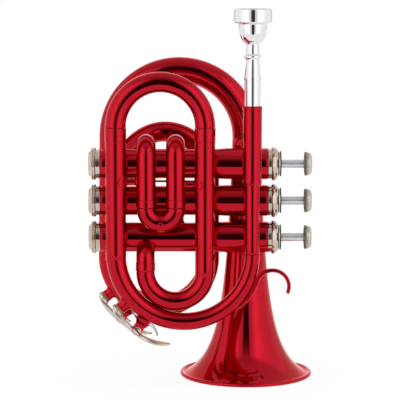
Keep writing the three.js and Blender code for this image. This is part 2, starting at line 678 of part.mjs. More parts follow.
const lever = plate(stripOutline(leverLine, KEY_LEVER.thickness), -6, 6)
  .intersect(planCutter)
  .subtract(rod(KEY.cork + 0.35, 0, KEY.corkTop + GAP, 14))
  .add(hinge(KEY_PIVOT.hub, -KEY_PIVOT.hubHalf, KEY_PIVOT.hubHalf, 12))
  .add(cup)
  .subtract(hinge(KEY_PIVOT.hole, -8, 8, 12));
const cork = rod(KEY.cork, KEY.nippleTop + GAP, KEY.corkTop, 14);
const headTop = KEY_SADDLE.outer + GAP + 1.3;
const screwSlot = solid(new THREE.BoxGeometry(6, 1, 0.8)).translate(KEY_PIVOT.x, headTop, KEY_PIVOT.z);
const screw = hinge(KEY_PIVOT.pin, -KEY_SADDLE.outer - 0.5, KEY_SADDLE.outer + GAP + 0.2, 10)
  .add(hinge(2.35, KEY_SADDLE.outer + GAP, headTop, 12))
  .subtract(screwSlot);

function saddleEars(depth) {
  const { x, z } = KEY_PIVOT;
  const outline = new THREE.Shape();
  outline.moveTo(x - KEY_SADDLE.half, -depth);
  outline.lineTo(x + KEY_SADDLE.half, -depth);
  outline.lineTo(x + 2.4, z);
  outline.absarc(x, z, 2.4, 0, Math.PI, false);
  outline.closePath();
  const ears = plate(outline, KEY_SADDLE.inner, KEY_SADDLE.outer)
    .add(plate(outline, -KEY_SADDLE.outer, -KEY_SADDLE.inner));
  return ears.subtract(hinge(KEY_PIVOT.hole, -8, 8, 12));
}

const keys = [
  { name: "front", route: bigBow, bow: BIG_BOW, centreX: bowX, y: FRONT_Y, angle: KEY.frontAngle },
  {
    name: "back",
    route: backBow,
    bow: BACK_BOW,
    centreX: RETURN_X - BACK_BOW.radius,
    y: BACK_Y,
    angle: KEY.backAngle,
  },
];
for (const { name, route, bow, centreX, y, angle } of keys) {
  const [first, last] = [route.stations[0].radius, route.end.radius];
  const part = name === "front" ? 1 - angle / 180 : angle / 180;
  const tubeRadius = lerp(first, last, part);
  const frame = keyFrame(centreX, y, bow.z, bow.radius + tubeRadius, angle);
  const drain = rod(KEY.drain, -tubeRadius, 2, 10);
  const bowBody = route.core()
    .add(placed(saddleEars(tubeRadius + 4), frame))
    .subtract(route.bore())
    .subtract(placed(drain, frame));
  piece(instrument, name === "front" ? "leadpipe_bow" : "bell_bottom_bow", bowBody, LACQUER);
  const nippleBore = rod(KEY.drain, -4, KEY.nippleTop + 1, 14);
  const nippleBlank = rod(KEY.nipple, -3, KEY.nippleTop, 14).subtract(nippleBore);
  const nipple = placed(nippleBlank, frame).subtract(route.core(GAP));
  piece(instrument, `water_key_nipple_${name}`, nipple, LACQUER);
  const group = new THREE.Group();
  group.applyMatrix4(frame);
  piece(group, `water_key_lever_${name}`, lever, NICKEL);
  piece(group, `water_key_cork_${name}`, cork, CORK);
  piece(group, `water_key_spring_${name}`, keySpring, STEEL);
  piece(group, `water_key_screw_${name}`, screw, NICKEL);
  instrument.add(group);
}

// Mouthpiece: rim, bowl, throat and the shank that slides into the receiver
const mouthTop = MOUTHPIECE.top;
const mouthpieceProfile = [
  [MOUTHPIECE.shankBore, MOUTHPIECE.bottom],
  [4.65, MOUTHPIECE.bottom],
  [5.35, 199],
  [5.5, 214],
  [6.1, 215.7],
  [5.5, 217.6],
  [4.5, 228.6],
  [5.95, 230.1],
  [4.6, 232.5],
  [4.4, 238.3],
  [8.9, 244.5],
  [9.9, 249],
  [10.4, 252.6],
  [MOUTHPIECE.rim - 0.2, 253.8],
  [MOUTHPIECE.rim, 260.6],
  [12.4, 262.7],
  [10.6, mouthTop],
  [9.2, 262.5],
  [MOUTHPIECE.cup, 260.6],
  [7.4, mouthTop - 7],
  [4.6, mouthTop - MOUTHPIECE.cupDepth + 0.6],
  [MOUTHPIECE.throat, mouthTop - MOUTHPIECE.cupDepth - 3],
  [MOUTHPIECE.throat, mouthTop - 22],
];
const mouthpiece = turned(mouthpieceProfile, MOUTHPIECE.sides).translate(LEADPIPE.x, FRONT_Y, 0);
piece(instrument, "mouthpiece", mouthpiece, SILVER);

// What each valve holds: piston, guide, spring, stem, button and two caps, all on one axis
const portCutters = PISTON_PORTS.places.map(([x, degrees]) =>
  rod(PISTON_PORTS.radius, -12, 12, 8).rotate([degrees, 0, 0]).translate(x, 0, 0));
const slotCutter = solid(new THREE.BoxGeometry(SLOT.top - PISTON.floor, 30, SLOT.width))
  .translate((SLOT.top + PISTON.floor) / 2, 0, 0);
const pistonBlank = [
  [0, PISTON.left + PISTON.recess],
  [PISTON.recessRadius, PISTON.left + PISTON.recess],
  [PISTON.recessRadius, PISTON.left],
  [PISTON.radius, PISTON.left],
  [PISTON.radius, PISTON.right],
  [STEM.thread + GAP, PISTON.right],
  [STEM.thread + GAP, PISTON.plate],
  [PISTON.barrelBore, PISTON.plate],
  [PISTON.barrelBore, PISTON.floor],
  [0, PISTON.floor],
];
const piston = turned(pistonBlank, 12, "x")
  .subtract(portCutters[0])
  .subtract(portCutters[1])
  .subtract(portCutters[2])
  .subtract(slotCutter);
const guideX = GUIDE_SEAT.x + GAP;
const lug = solid(new THREE.BoxGeometry(GUIDE.thickness, 2 * GUIDE.reach, GUIDE.width))
  .translate(guideX + GUIDE.thickness / 2, 0, 0);
const guide = rod(GUIDE.disc, guideX, guideX + GUIDE.thickness, 12, "x").add(lug);
const springLeft = guideX + GUIDE.thickness + GAP + VALVE_SPRING.wire;
const springLength = PISTON.plate - GAP - VALVE_SPRING.wire - springLeft;
const coilCount = VALVE_SPRING.curls * VALVE_SPRING.steps;
const coil = Array.from({ length: coilCount + 1 }, (unused, k) => {
  const angle = 2 * Math.PI * k / VALVE_SPRING.steps;
  const x = springLeft + springLength * k / coilCount;
  const [y, z] = [VALVE_SPRING.radius * Math.cos(angle), VALVE_SPRING.radius * Math.sin(angle)];
  return new THREE.Vector3(x, y, z);
});
console.log("valve spring, least gap to itself:", leastGap(coil, VALVE_SPRING.wire, 4).toFixed(2), "mm");
const coilRoute = new Route(coil[0].toArray(), UP, VALVE_SPRING.wire);
coilRoute.through(coil.slice(1), () => VALVE_SPRING.wire);
const valveSpring = coilRoute.core(0, 0, VALVE_SPRING.sides);
const stemProfile = [
  [0, STEM.left],
  [STEM.thread, STEM.left],
  [STEM.thread, STEM.shoulder],
  [STEM.radius, STEM.shoulder],
  [STEM.radius, STEM.right],
  [0, STEM.right],
];
const buttonProfile = [
  [0, BUTTON.left],
  [BUTTON.radius - 1.4, BUTTON.left],
  [BUTTON.radius, BUTTON.left + 1.3],
  [BUTTON.radius, BUTTON.right - 1],
  [BUTTON.radius - 1, BUTTON.right],
  [BUTTON.radius - 2, BUTTON.right - 0.3],
  [0, BUTTON.right - 0.9],
];
const topCapProfile = [
  [CAP_BORE, TOP_CAP.left],
  [TOP_CAP.ring, TOP_CAP.left],
  [TOP_CAP.ring, TOP_CAP.flangeLeft],
  [TOP_CAP.flange, TOP_CAP.flangeLeft + 0.5],
  [TOP_CAP.flange, TOP_CAP.flangeRight - 0.8],
  [TOP_CAP.crown, TOP_CAP.flangeRight],
  [TOP_CAP.crown, TOP_CAP.right],
  [STEM.radius + GAP, TOP_CAP.right],
  [STEM.radius + GAP, THREAD.right + GAP],
  [CAP_BORE, THREAD.right + GAP],
];
const bottomCapProfile = [
  [0, BOTTOM_CAP.left],
  [BOTTOM_CAP.flange - 1.6, BOTTOM_CAP.left],
  [BOTTOM_CAP.flange, BOTTOM_CAP.left + 1.4],
  [BOTTOM_CAP.flange, BOTTOM_CAP.flangeRight - 0.6],
  [BOTTOM_CAP.ring, BOTTOM_CAP.flangeRight],
  [BOTTOM_CAP.ring, BOTTOM_CAP.right],
  [CAP_BORE, BOTTOM_CAP.right],
  [CAP_BORE, THREAD.left - GAP],
  [0, THREAD.left - GAP],
];
const insides = [
  ["piston", piston, STEEL],
  ["valve_guide", guide, NYLON],
  ["valve_spring", valveSpring, STEEL],
  ["valve_stem", turned(stemProfile, 12, "x"), SILVER],
  ["finger_button", turned(buttonProfile, 16, "x"), NICKEL],
  ["top_cap", turned(topCapProfile, 16, "x"), NICKEL],
  ["bottom_cap", turned(bottomCapProfile, 16, "x"), NICKEL],
];
VALVE_Z.forEach((z, index) => {
  const valve = new THREE.Group();
  valve.position.z = z;
  for (const [name, body, finish] of insides) piece(valve, `${name}_${index + 1}`, body, finish);
  instrument.add(valve);
});

// The origin goes to the middle of the instrument's own box, on the plane of the bell's rim
const reachRight = BELL.x + BELL.radius;
const reachBack = BACK_Y + BELL.radius;
const reachFront = FRONT_Y - MOUTHPIECE.rim;
instrument.position.set(-(reachRight + BOTTOM_CAP.left) / 2, -(reachBack + reachFront) / 2, 0);
const trumpet = new THREE.Group();
trumpet.add(instrument);

export default trumpet;
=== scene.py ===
# A pocket trumpet in candy red lacquer, standing on its bell.
# Sizes are in millimetres: X from the middle of the view, Y from the plane of the valves' axes and
# Z from the plane of the bell's rim. Everything that Blender gets is in metres.
import math

import bmesh
import bpy
from mathutils import Matrix, Quaternion, Vector


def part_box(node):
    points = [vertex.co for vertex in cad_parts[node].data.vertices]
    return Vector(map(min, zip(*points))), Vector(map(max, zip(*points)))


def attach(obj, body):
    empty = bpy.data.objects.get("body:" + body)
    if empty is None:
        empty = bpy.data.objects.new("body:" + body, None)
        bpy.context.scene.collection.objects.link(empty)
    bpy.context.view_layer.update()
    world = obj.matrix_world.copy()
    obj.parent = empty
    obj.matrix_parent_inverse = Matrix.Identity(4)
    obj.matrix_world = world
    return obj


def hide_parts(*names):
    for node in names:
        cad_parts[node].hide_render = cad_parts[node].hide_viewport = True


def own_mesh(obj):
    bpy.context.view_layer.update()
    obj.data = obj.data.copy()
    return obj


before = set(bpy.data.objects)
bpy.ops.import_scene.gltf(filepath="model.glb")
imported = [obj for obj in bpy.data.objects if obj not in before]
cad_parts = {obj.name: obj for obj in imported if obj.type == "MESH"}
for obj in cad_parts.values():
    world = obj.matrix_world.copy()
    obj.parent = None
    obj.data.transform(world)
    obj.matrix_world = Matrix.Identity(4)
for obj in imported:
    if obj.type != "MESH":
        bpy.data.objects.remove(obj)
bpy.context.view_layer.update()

# Bell: spun brass sheet whose radius falls off as a power of the height, its rim rolled round a wire.
# It is lacquered all over: a clear red coat over bright metal, a little uneven where it was sprayed.
MM = 0.001
BELL_X = 33.1
BELL_Y = 29.6
RIM_RADIUS = 47.5
BEAD_RADIUS = 1.45
BEAD_FROM, BEAD_SWEEP = -100, 265
BELL_THROAT = 12.5
BELL_POWER = 0.58
BELL_TOP = 171.5
BELL_WALL = 0.9
FLARE_START = 1.8
rim_low, rim_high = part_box("bell")
HOME = (rim_low + rim_high) / 2 - Vector((BELL_X, BELL_Y, 0)) * MM
HOME.z = 0


def at(x, y, z):
    """A place in metres, in the row's frame, from millimetres in the instrument's."""
    return HOME + Vector((x, y, z)) * MM


def bell_radius(z):
    return RIM_RADIUS * (BELL_THROAT / (z + BELL_THROAT)) ** BELL_POWER


class Wire:
    """A socket in a node tree. Arithmetic on it adds Math nodes, or Vector Math nodes on vectors."""

    def __init__(self, tree, socket=None):
        self.tree = tree
        self.socket = socket

    def __getitem__(self, name):
        """Another output of the node that this one comes from."""
        return Wire(self.tree, self.socket.node.outputs[name])

    def node(self, kind, values=None, **settings):
        """Adds a node and returns its first output. Values are numbers, or wires to link.

        A kind without the word Node in it gets the tree's own prefix.
        """
        made = self.tree.nodes.new(kind if "Node" in kind else self.tree.bl_idname[:-4] + kind)
        for key, value in settings.items():
            if key == "stops":
                ramp = made.color_ramp.elements
                while len(ramp) < len(value):
                    ramp.new(1)
                for element, (place, light) in zip(ramp, value):
                    element.position = place
                    element.color = (light, light, light, 1)
            else:
                setattr(made, key, value)
        for key, value in (values or {}).items():
            if isinstance(value, Wire):
                self.tree.links.new(value.socket, made.inputs[key])
            else:
                made.inputs[key].default_value = value
        shown = [output for output in made.outputs if output.enabled]
        return Wire(self.tree, shown[0] if shown else None)

    def math(self, operation, *others, first=None):
        """An operation on this wire and others, or on first and this wire."""
        operands = [self, *others] if first is None else [first, self]
        kind = "ShaderNodeMath"
        if any(isinstance(one, Wire) and one.socket.type == "VECTOR" for one in operands):
            kind = "ShaderNodeVectorMath"
            operands = [one if isinstance(one, Wire) else (one, one, one) for one in operands]
        return self.node(kind, dict(enumerate(operands)), operation=operation)

    def __add__(self, other):
        return self.math("ADD", other)

    def __sub__(self, other):
        return self.math("SUBTRACT", other)

    def __rsub__(self, other):
        return self.math("SUBTRACT", first=other)

    def __mul__(self, other):
        return self.math("MULTIPLY", other)

    def __truediv__(self, other):
        return self.math("DIVIDE", other)

    def __rtruediv__(self, other):
        return self.math("DIVIDE", first=other)

    def __pow__(self, other):
        return self.math("POWER", other)

    def __rpow__(self, other):
        return self.math("POWER", first=other)

    def __lt__(self, other):
        return self.math("LESS_THAN", other)

    def __gt__(self, other):
        return self.math("GREATER_THAN", other)

    __radd__ = __add__
    __rmul__ = __mul__


class Finish:
    """A material with its plain values on the shader's own sockets, and the slot that it fills."""

    def __init__(self, name, slot, colour, metallic, roughness, **others):
        self.slot = slot
        self.material = bpy.data.materials.new(name)
        self.material.use_nodes = True
        tree = self.material.node_tree
        self.shader = next(n for n in tree.nodes if n.type == "BSDF_PRINCIPLED")
        self.wire = Wire(tree)
        values = {"Base Color": (*colour, 1), "Metallic": metallic, "Roughness": roughness, **others}
        for key, value in values.items():
            self.shader.inputs[key.replace("_", " ")].default_value = value

    def feed(self, socket, wire):
        wire.tree.links.new(wire.socket, self.shader.inputs[socket])

    def noise(self, scale, detail=2.0):
        """Noise that stays with the piece; scale is in waves per metre."""
        place = self.wire.node("TexCoord")["Object"]
        return self.wire.node("TexNoise", {"Vector": place, "Scale": scale, "Detail": detail})

    def vary(self, socket, low, high, share):
        """Runs a value or a colour from low to high as share runs from 0 to 1."""
        if isinstance(low, tuple):
            value = self.wire.node("Mix", {0: share, 6: (*low, 1), 7: (*high, 1)}, data_type="RGBA")
        else:
            value = share * (high - low) + low
        self.feed(socket, value)

    def bump(self, height, strength, distance=0.0002):
        values = {"Strength": strength, "Distance": distance, "Height": height}
        self.feed("Normal", self.wire.node("Bump", values))


LACQUER_RED = (0.59, 0.0015, 0.018)
LACQUER_DEEP = (0.5, 0.001, 0.013)
lacquer = Finish(
    "candy_red_lacquer",
    "red_lacquer",
    LACQUER_RED,
    1.0,
    0.09,
    Coat_Weight=1.0,
    Coat_Roughness=0.02,
    Coat_IOR=1.23,
    Specular_Tint=(1, 0.35, 0.38, 1),
)
clouds = lacquer.noise(38)
lacquer.vary("Base Color", LACQUER_DEEP, LACQUER_RED, clouds * 1.6 - 0.2)
lacquer.vary("Roughness", 0.06, 0.12, clouds)
lacquer.bump(lacquer.noise(520, 1.0), 0.04)

TRACKS = ("along", "out", "turn")


def node_tree(name, values):
    """A tree with a geometry input and one of each value's kind; returns it and a wire of its inputs."""
    tree = bpy.data.node_groups.new(name, "GeometryNodeTree")
    for way in ("OUTPUT", "INPUT"):
        tree.interface.new_socket("Geometry", in_out=way, socket_type="NodeSocketGeometry")
    for label, value in values.items():
        kind = {int: "Int", float: "Float"}.get(type(value), "Material")
        tree.interface.new_socket(label, in_out="INPUT", socket_type="NodeSocket" + kind)
    return tree, Wire(tree).node("NodeGroupInput")


def finish_tree(given, mesh):
    """Ends a tree: smooth, in its material, with real vertices."""
    smooth = given.node("SetShadeSmooth", {"Geometry": mesh})
    painted = given.node("SetMaterial", {"Geometry": smooth, "Material": given["Material"]})
    real = given.node("RealizeInstances", {"Geometry": painted})
    given.node("NodeGroupOutput", {"Geometry": real})


def turn(given, section, route):
    """Turns a section of (distance along the route, radius) points about the route that it follows."""
    here = given.node("InputPosition")
    rounding = {"Curve": section, "Count": 3, "Radius": given["Edge"], "Limit Radius": True}
    rounded = given.node("FilletCurve", rounding, mode="POLY")
    following = given.node("OffsetPointInCurve", {"Offset": 1})["Point Index"]
    there = given.node("FieldAtIndex", {"Value": here, "Index": following}, data_type="FLOAT_VECTOR")
    cuts = ((there - here).math("LENGTH")["Value"] / given["Step"]).math("FLOOR")
    fine = given.node("SubdivideCurve", {"Curve": rounded, "Cuts": cuts})
    apart = given.node("ShaderNodeSeparateXYZ", {"Vector": here})
    circle = given.node("CurvePrimitiveCircle", {"Resolution": given["Sides"]})
    turning = given.node("InputIndex") * (2 * math.pi) / given["Sides"]

    def marked(curve, label, value):
        return given.node("StoreNamedAttribute", {"Geometry": curve, "Name": label, "Value": value})

    fine = marked(marked(fine, TRACKS[0], apart["X"]), TRACKS[1], apart["Y"])
    circle = marked(circle, TRACKS[2], turning)
    skin = given.node("CurveToMesh", {"Curve": circle, "Profile Curve": fine})
    along, out, angle = [given.node("InputNamedAttribute", {"Name": label}) for label in TRACKS]
    sample = given.node("SampleCurve", {"Curves": route, "Length": along}, mode="LENGTH")
    side = sample["Normal"]
    up = sample["Tangent"].math("CROSS_PRODUCT", side)
    aside = side * (out * angle.math("COSINE")) + up * (out * angle.math("SINE"))
    placed = given.node("SetPosition", {"Geometry": skin, "Position": sample["Position"] + aside})
    return given.node("MergeByDistance", {"Geometry": placed, "Distance": 1e-6})


def in_scene(name, data):
    made = bpy.data.objects.new(name, data)
    bpy.context.scene.collection.objects.link(made)
    return made


def made_plain(piece, modifier):
    """Gives the piece the mesh that its modifier shows, without the modifier; returns the mesh."""
    graph = bpy.context.evaluated_depsgraph_get()
    mesh = bpy.data.meshes.new_from_object(piece.evaluated_get(graph), depsgraph=graph)
    piece.modifiers.remove(modifier)
    piece.data = mesh
    return mesh


def grow(name, points, edges, tree, values, sections=()):
    """The plain mesh that a tree makes from a host of points and edges, facing outwards."""
    mesh = bpy.data.meshes.new(name)
    mesh.from_pydata(points, edges, [])
    marks = mesh.attributes.new("section", "BOOLEAN", "POINT")
    marks.data.foreach_set("value", [k in sections for k in range(len(points))])
    host = in_scene(name, mesh)
    modifier = host.modifiers.new("growth", "NODES")
    modifier.node_group = tree
    for item in tree.interface.items_tree:
        if item.in_out == "INPUT" and item.name in values:
            modifier[item.identifier] = values[item.name]
    grown = made_plain(host, modifier)
    for label in (*TRACKS, "section"):
        if label in grown.attributes:
            grown.attributes.remove(grown.attributes[label])
    work = bmesh.new()
    work.from_mesh(grown)
    if work.calc_volume(signed=True) < 0:
        bmesh.ops.reverse_faces(work, faces=work.faces)
        work.to_mesh(grown)
    work.free()
    return host


def settle(piece, finish, *nodes, body="root"):
    """The piece rides on its body and stands for these nodes; the finish is not used."""
    if nodes:
        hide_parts(*nodes)
    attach(piece, body)
    return piece


# The bell's own tree works out the section from the rule and turns it about an upright line
flare = {
    "Rim Radius": RIM_RADIUS * MM,
    "Bead Radius": BEAD_RADIUS * MM,
    "Throat": BELL_THROAT * MM,
    "Power": BELL_POWER,
    "Height": BELL_TOP * MM,
    "Start": FLARE_START * MM,
    "Wall": BELL_WALL * MM,
    "Rings": 90,
    "Bead Points": 20,
    "Sides": 160,
    "Step": 10 * MM,
    "Edge": 0.0,
    "Material": lacquer.material,
}
flare_tree, given = node_tree("bell_flare", flare)
rings, bead_points, throat = given["Rings"], given["Bead Points"], given["Throat"]
line = given.node("MeshLine", {"Count": rings * 2 + bead_points})
line = given.node("MeshToCurve", {"Mesh": line})
line = given.node("SetSplineCyclic", {"Geometry": line, "Cyclic": True})
index = given.node("InputIndex")
rising = (index - bead_points) / (rings - 1)
falling = (rings * 2 + bead_points - 1 - index) / (rings - 1)
inside = index > rings + bead_points - 0.5
lowest = given["Start"] + throat
depth = lowest * ((given["Height"] + throat) / lowest) ** rising.math("MINIMUM", falling)
radius = given["Rim Radius"] * (throat / depth) ** given["Power"]
slope = given["Power"] * radius / depth
thickness = inside * given["Wall"] / (slope * slope + 1).math("SQRT")
skin_z = depth - throat - thickness * slope
skin_r = radius - thickness
bead_angle = index / bead_points * math.radians(BEAD_SWEEP) + math.radians(BEAD_FROM)
bead = given["Bead Radius"]
bead_z = bead + bead * bead_angle.math("SINE")
bead_r = given["Rim Radius"] - bead + bead * bead_angle.math("COSINE")
on_bead = index < bead_points
section_x = skin_z + (bead_z - skin_z) * on_bead
section_y = skin_r + (bead_r - skin_r) * on_bead
place = given.node("ShaderNodeCombineXYZ", {"X": section_x, "Y": section_y})
line = given.node("SetPosition", {"Geometry": line, "Position": place})
upright = given.node("MeshToCurve", {"Mesh": given["Geometry"]})
finish_tree(given, turn(given, line, upright))
axis = [at(BELL_X, BELL_Y, 0), at(BELL_X, BELL_Y, BELL_TOP)]
settle(grow("bell_flare", axis, [(0, 1)], flare_tree, flare), lacquer, "bell")

# Bell tube: drawn tube bent over the top, down the left side, round the bottom and up to the first
# valve. Its lengths are soft-soldered end to end, so that only thin seams show under the lacquer.
TUBE_WALL = 0.8
TOP_BOW_RADIUS = 48.5
BACK_BOW_Z = 85
BELL_TUBE = 8
BACK_TUBE = 7.3
RETURN_X = 6.5
SPREAD = 0.7
UP, DOWN, LEFT, RIGHT = Vector((0, 0, 1)), Vector((0, 0, -1)), Vector((-1, 0, 0)), Vector((1, 0, 0))
BACK, FORWARD = Vector((0, 1, 0)), Vector((0, -1, 0))


class Route:
    """The centre line of a tube, in millimetres: straights and bends, one after another."""

    def __init__(self, start, way):
        self.points = [Vector(start)]
        self.way = Vector(way)

    def straight(self, length):
        self.points.append(self.points[-1] + self.way * length)
        return self

    def bend(self, radius, degrees, toward):
        centre = self.points[-1] + toward * radius
        arm = self.points[-1] - centre
        axis = self.way.cross(toward)
        steps = math.ceil(abs(degrees))
        for k in range(1, steps + 1):
            self.points.append(centre + Quaternion(axis, math.radians(degrees * k / steps)) @ arm)
        self.way = Quaternion(axis, math.radians(degrees)) @ self.way
        return self

    def through(self, points):
        self.points.extend(Vector(point) for point in points)
        self.way = (self.points[-1] - self.points[-2]).normalized()
        return self

    def length(self):
        return sum((b - a).length for a, b in zip(self.points, self.points[1:]))


tube_inputs = {"Sides": 0, "Step": 0.0, "Edge": 0.0, "Material": None}
turning_tree, given = node_tree("turned_along_a_route", tube_inputs)
is_section = given.node("InputNamedAttribute", {"Name": "section"}, data_type="BOOLEAN")
apart = given.node("SeparateGeometry", {"Geometry": given["Geometry"], "Selection": is_section})
section = given.node("MeshToCurve", {"Mesh": apart})
route = given.node("MeshToCurve", {"Mesh": apart["Inverted"]})
finish_tree(given, turn(given, section, route))


def turned(name, route, section, finish, *nodes, body="root", sides=48, step=1.5, edge=0.2, change=None):
    """A piece whose section of (distance, radius) points in millimetres follows a route.

    A section that starts off the axis is closed. A change to the mesh comes before it is settled.
    """
    start = len(route.points)
    points = [at(*point) for point in route.points]
    points += [(along * MM, out * MM, 0) for along, out in section]
    edges = [(k, k + 1) for k in range(len(points) - 1) if k + 1 != start]
    if section[0][1] > 0:
        edges.append((len(points) - 1, start))
    values = {"Sides": sides, "Step": step * MM, "Edge": edge * MM, "Material": finish.material}
    piece = grow(name, points, edges, turning_tree, values, range(start, len(points)))
    if change:
        change(piece)
    return settle(piece, finish, *nodes, body=body)


def pipe(outline, wall=TUBE_WALL):
    """A closed section from a tube's outer outline and its wall."""
    return [*outline, *[(along, out - wall) for along, out in (outline[-1], outline[0])]]


def on_circle(x, y, z, radius, degrees):
    """A point of an upright circle that faces the front."""
    angle = math.radians(degrees)
    return Vector((x + radius * math.cos(angle), y, z + radius * math.sin(angle)))


SEAM = 0.2
top_route = Route((BELL_X, BELL_Y, BELL_TOP + SEAM), UP)
top_route.bend(TOP_BOW_RADIUS, 180 - SPREAD, LEFT).straight(BELL_TOP - BACK_BOW_Z)
tail = bell_radius(BELL_TOP)
bow_end = math.pi * TOP_BOW_RADIUS
top_section = [
    (0, tail),
    (bow_end, BELL_TUBE),
    (top_route.length(), BELL_TUBE),
    (top_route.length(), BELL_TUBE - TUBE_WALL),
    (bow_end, BELL_TUBE - TUBE_WALL),
    (0, tail - BELL_WALL),
]
turned("bell_tube_top_bow", top_route, top_section, lacquer, "bell_top_bow", sides=64)

SIDE_X = top_route.points[-1].x
BACK_BOW_RADIUS = (RETURN_X - SIDE_X) / 2
bottom_route = Route(top_route.points[-1], top_route.way)
bottom_route.bend(BACK_BOW_RADIUS, 180 + SPREAD, top_route.way.cross(BACK))
bottom_section = pipe([(0, BELL_TUBE), (bottom_route.length(), BACK_TUBE)])
turned("bell_tube_bottom_bow", bottom_route, bottom_section, lacquer, "bell_bottom_bow")

RETURN_RADIUS = 31.75
RETURN_Z = 144.3
RETURN_FORWARD = 30
RETURN_TURN = 70
RETURN_TAPER = 110
RETURN_END = 6.3
RETURN_SHORT = 6
SWEEP_STEPS = 60
return_route = Route((RETURN_X, BELL_Y, BACK_BOW_Z + SEAM), UP).straight(RETURN_Z - BACK_BOW_Z - SEAM)
return_route.bend(RETURN_RADIUS, 90, LEFT)
sweep = []
for k in range(1, SWEEP_STEPS + 1):
    share = k / SWEEP_STEPS
    sweep_y = BELL_Y - RETURN_FORWARD * share**2
    degrees = 90 + RETURN_TURN * k / SWEEP_STEPS
    sweep.append(on_circle(RETURN_X - RETURN_RADIUS, sweep_y, RETURN_Z, RETURN_RADIUS, degrees))
return_route.through(sweep)
return_length = return_route.length() - RETURN_SHORT
return_section = pipe([(0, BACK_TUBE), (RETURN_TAPER, BACK_TUBE), (return_length, RETURN_END)])
turned("bell_tube_return_bow", return_route, return_section, lacquer, "bell_return_bow")

# Valve casings: three turned tubes side by side, a nickel thread at each end, joined by two knuckles.
# The half of each towards the buttons is a little wider for the spring and the guide.
VALVE_SPACING = 25.8
VALVE_Z = [129.6 + VALVE_SPACING * step for step in (1, 0, -1)]
CASING_LEFT, CASING_RIGHT = -69.4, 47.3
THREAD_LEFT, THREAD_RIGHT = -75.2, 52.2
CASING_RADIUS, CASING_UPPER, THREAD_RADIUS, CASING_BORE = 10.25, 10.9, 9.7, 8.75
FLARE_FROM, FLARE_TO = 10, 17.5
FLARE_EDGE, FLARE_SOFT = 0.7, 0.04
KNUCKLES = ((-37, VALVE_Z[1]), (-17, VALVE_Z[2]))
KNUCKLE_SUNK = 2
CASING = [
    (THREAD_LEFT, THREAD_RADIUS),
    (CASING_LEFT, THREAD_RADIUS),
    (CASING_LEFT, CASING_RADIUS),
    (FLARE_FROM - FLARE_EDGE, CASING_RADIUS),
    (FLARE_FROM, CASING_RADIUS + FLARE_SOFT),
    (FLARE_TO, CASING_UPPER - FLARE_SOFT),
    (FLARE_TO + FLARE_EDGE, CASING_UPPER),
    (CASING_RIGHT, CASING_UPPER),
    (CASING_RIGHT, THREAD_RADIUS),
    (THREAD_RIGHT, THREAD_RADIUS),
    (THREAD_RIGHT, CASING_BORE),
    (THREAD_LEFT, CASING_BORE),
]


def turned_on_valve(name, z, outline, finish, *nodes, **shape):
    """A piece turned about a valve's axis, from (x, radius) points."""
    left = min(x for x, out in outline)
    route = Route((left, 0, z), RIGHT).straight(max(x for x, out in outline) - left)
    turned(name, route, [(x - left, out) for x, out in outline], finish, *nodes, **shape)


def mirrored(half, length):
    """An outline that is the same from both ends."""
    return [*half, *[(length - along, out) for along, out in reversed(half)]]


for number, z in enumerate(VALVE_Z, 1):
    turned_on_valve(f"casing_{number}", z, CASING, lacquer, f"valve_casing_{number}", sides=72, step=3)
for number, (x, z) in enumerate(KNUCKLES, 1):
    knuckle_route = Route((x, 0, z + CASING_RADIUS - KNUCKLE_SUNK), UP)
    knuckle_route.straight(VALVE_SPACING - 2 * (CASING_RADIUS - KNUCKLE_SUNK))
    knuckle = mirrored([(0, 0), (0, 6.6), (2.2, 6.3), (3.2, 5.6)], knuckle_route.length())
    turned(f"casing_knuckle_{number}", knuckle_route, knuckle, lacquer)

# First valve slide: a short U in front of the valves, its two outer legs bent back into the first
# casing, with a ferrule at each open end and a small pull knob under the bow.
FRONT_Y = -19
FIRST_X = (-37.1, -16.9)
FIRST_RADIUS = 6.6
FIRST_OPEN_Z = 126.7
FIRST_BOW_STRAIGHT = 0.6
FIRST_RISE = 0.35
FIRST_BEND_Z = 160.5
FIRST_ENGAGED = 26
SLIDE_CLEARANCE = 0.35
SLIDE_GAP = 0.3
SLIDE_WALL = 0.7
FERRULE = 5.3
BOW_BEAD = 0.12
KNOB = [(0, 0), (0, 2.6), (0.9, 1.4), (2.1, 1.3), (2.6, 1.9), (3.9, 1.8), (4.5, 1.1), (4.6, 0)]


def outer_leg(slide, side, route, radius, rise=0.65):
    """A slide's outer leg: a ferrule with a bead at the open end, then plain tube."""
    length = route.length()
    section = [
        (0, radius - TUBE_WALL),
        (0, radius + rise - 0.2),
        (0.5, radius + rise),
        (FERRULE - 1.2, radius + rise - 0.1),
        (FERRULE - 0.8, radius + rise),
        (FERRULE, radius + rise),
        (FERRULE + 0.3, radius),
        (length, radius),
        (length, radius - TUBE_WALL),
    ]
    turned(f"{slide}_slide_leg_{side}", route, section, lacquer, f"{slide}_slide_outer_{side}")


def half_bow(radius, begins, edge=SLIDE_GAP, bead=1.6):
    """Half of a slide's bow: the inner leg, then a bead where the bow begins."""
    inner = radius - TUBE_WALL - SLIDE_CLEARANCE
    proud = radius + BOW_BEAD
    after = begins + bead
    return [(0, inner), (begins - edge, inner), (begins, proud), (after, proud), (after + 0.3, radius)]


def slide_bow(slide, route, radius, engaged):
    """A valve slide's bow with its two inner legs, which moves on its own."""
    section = pipe(mirrored(half_bow(radius, engaged), route.length()), SLIDE_WALL)
    node = f"{slide}_valve_slide"
    turned(f"{slide}_slide_bow", route, section, lacquer, node, body=node)


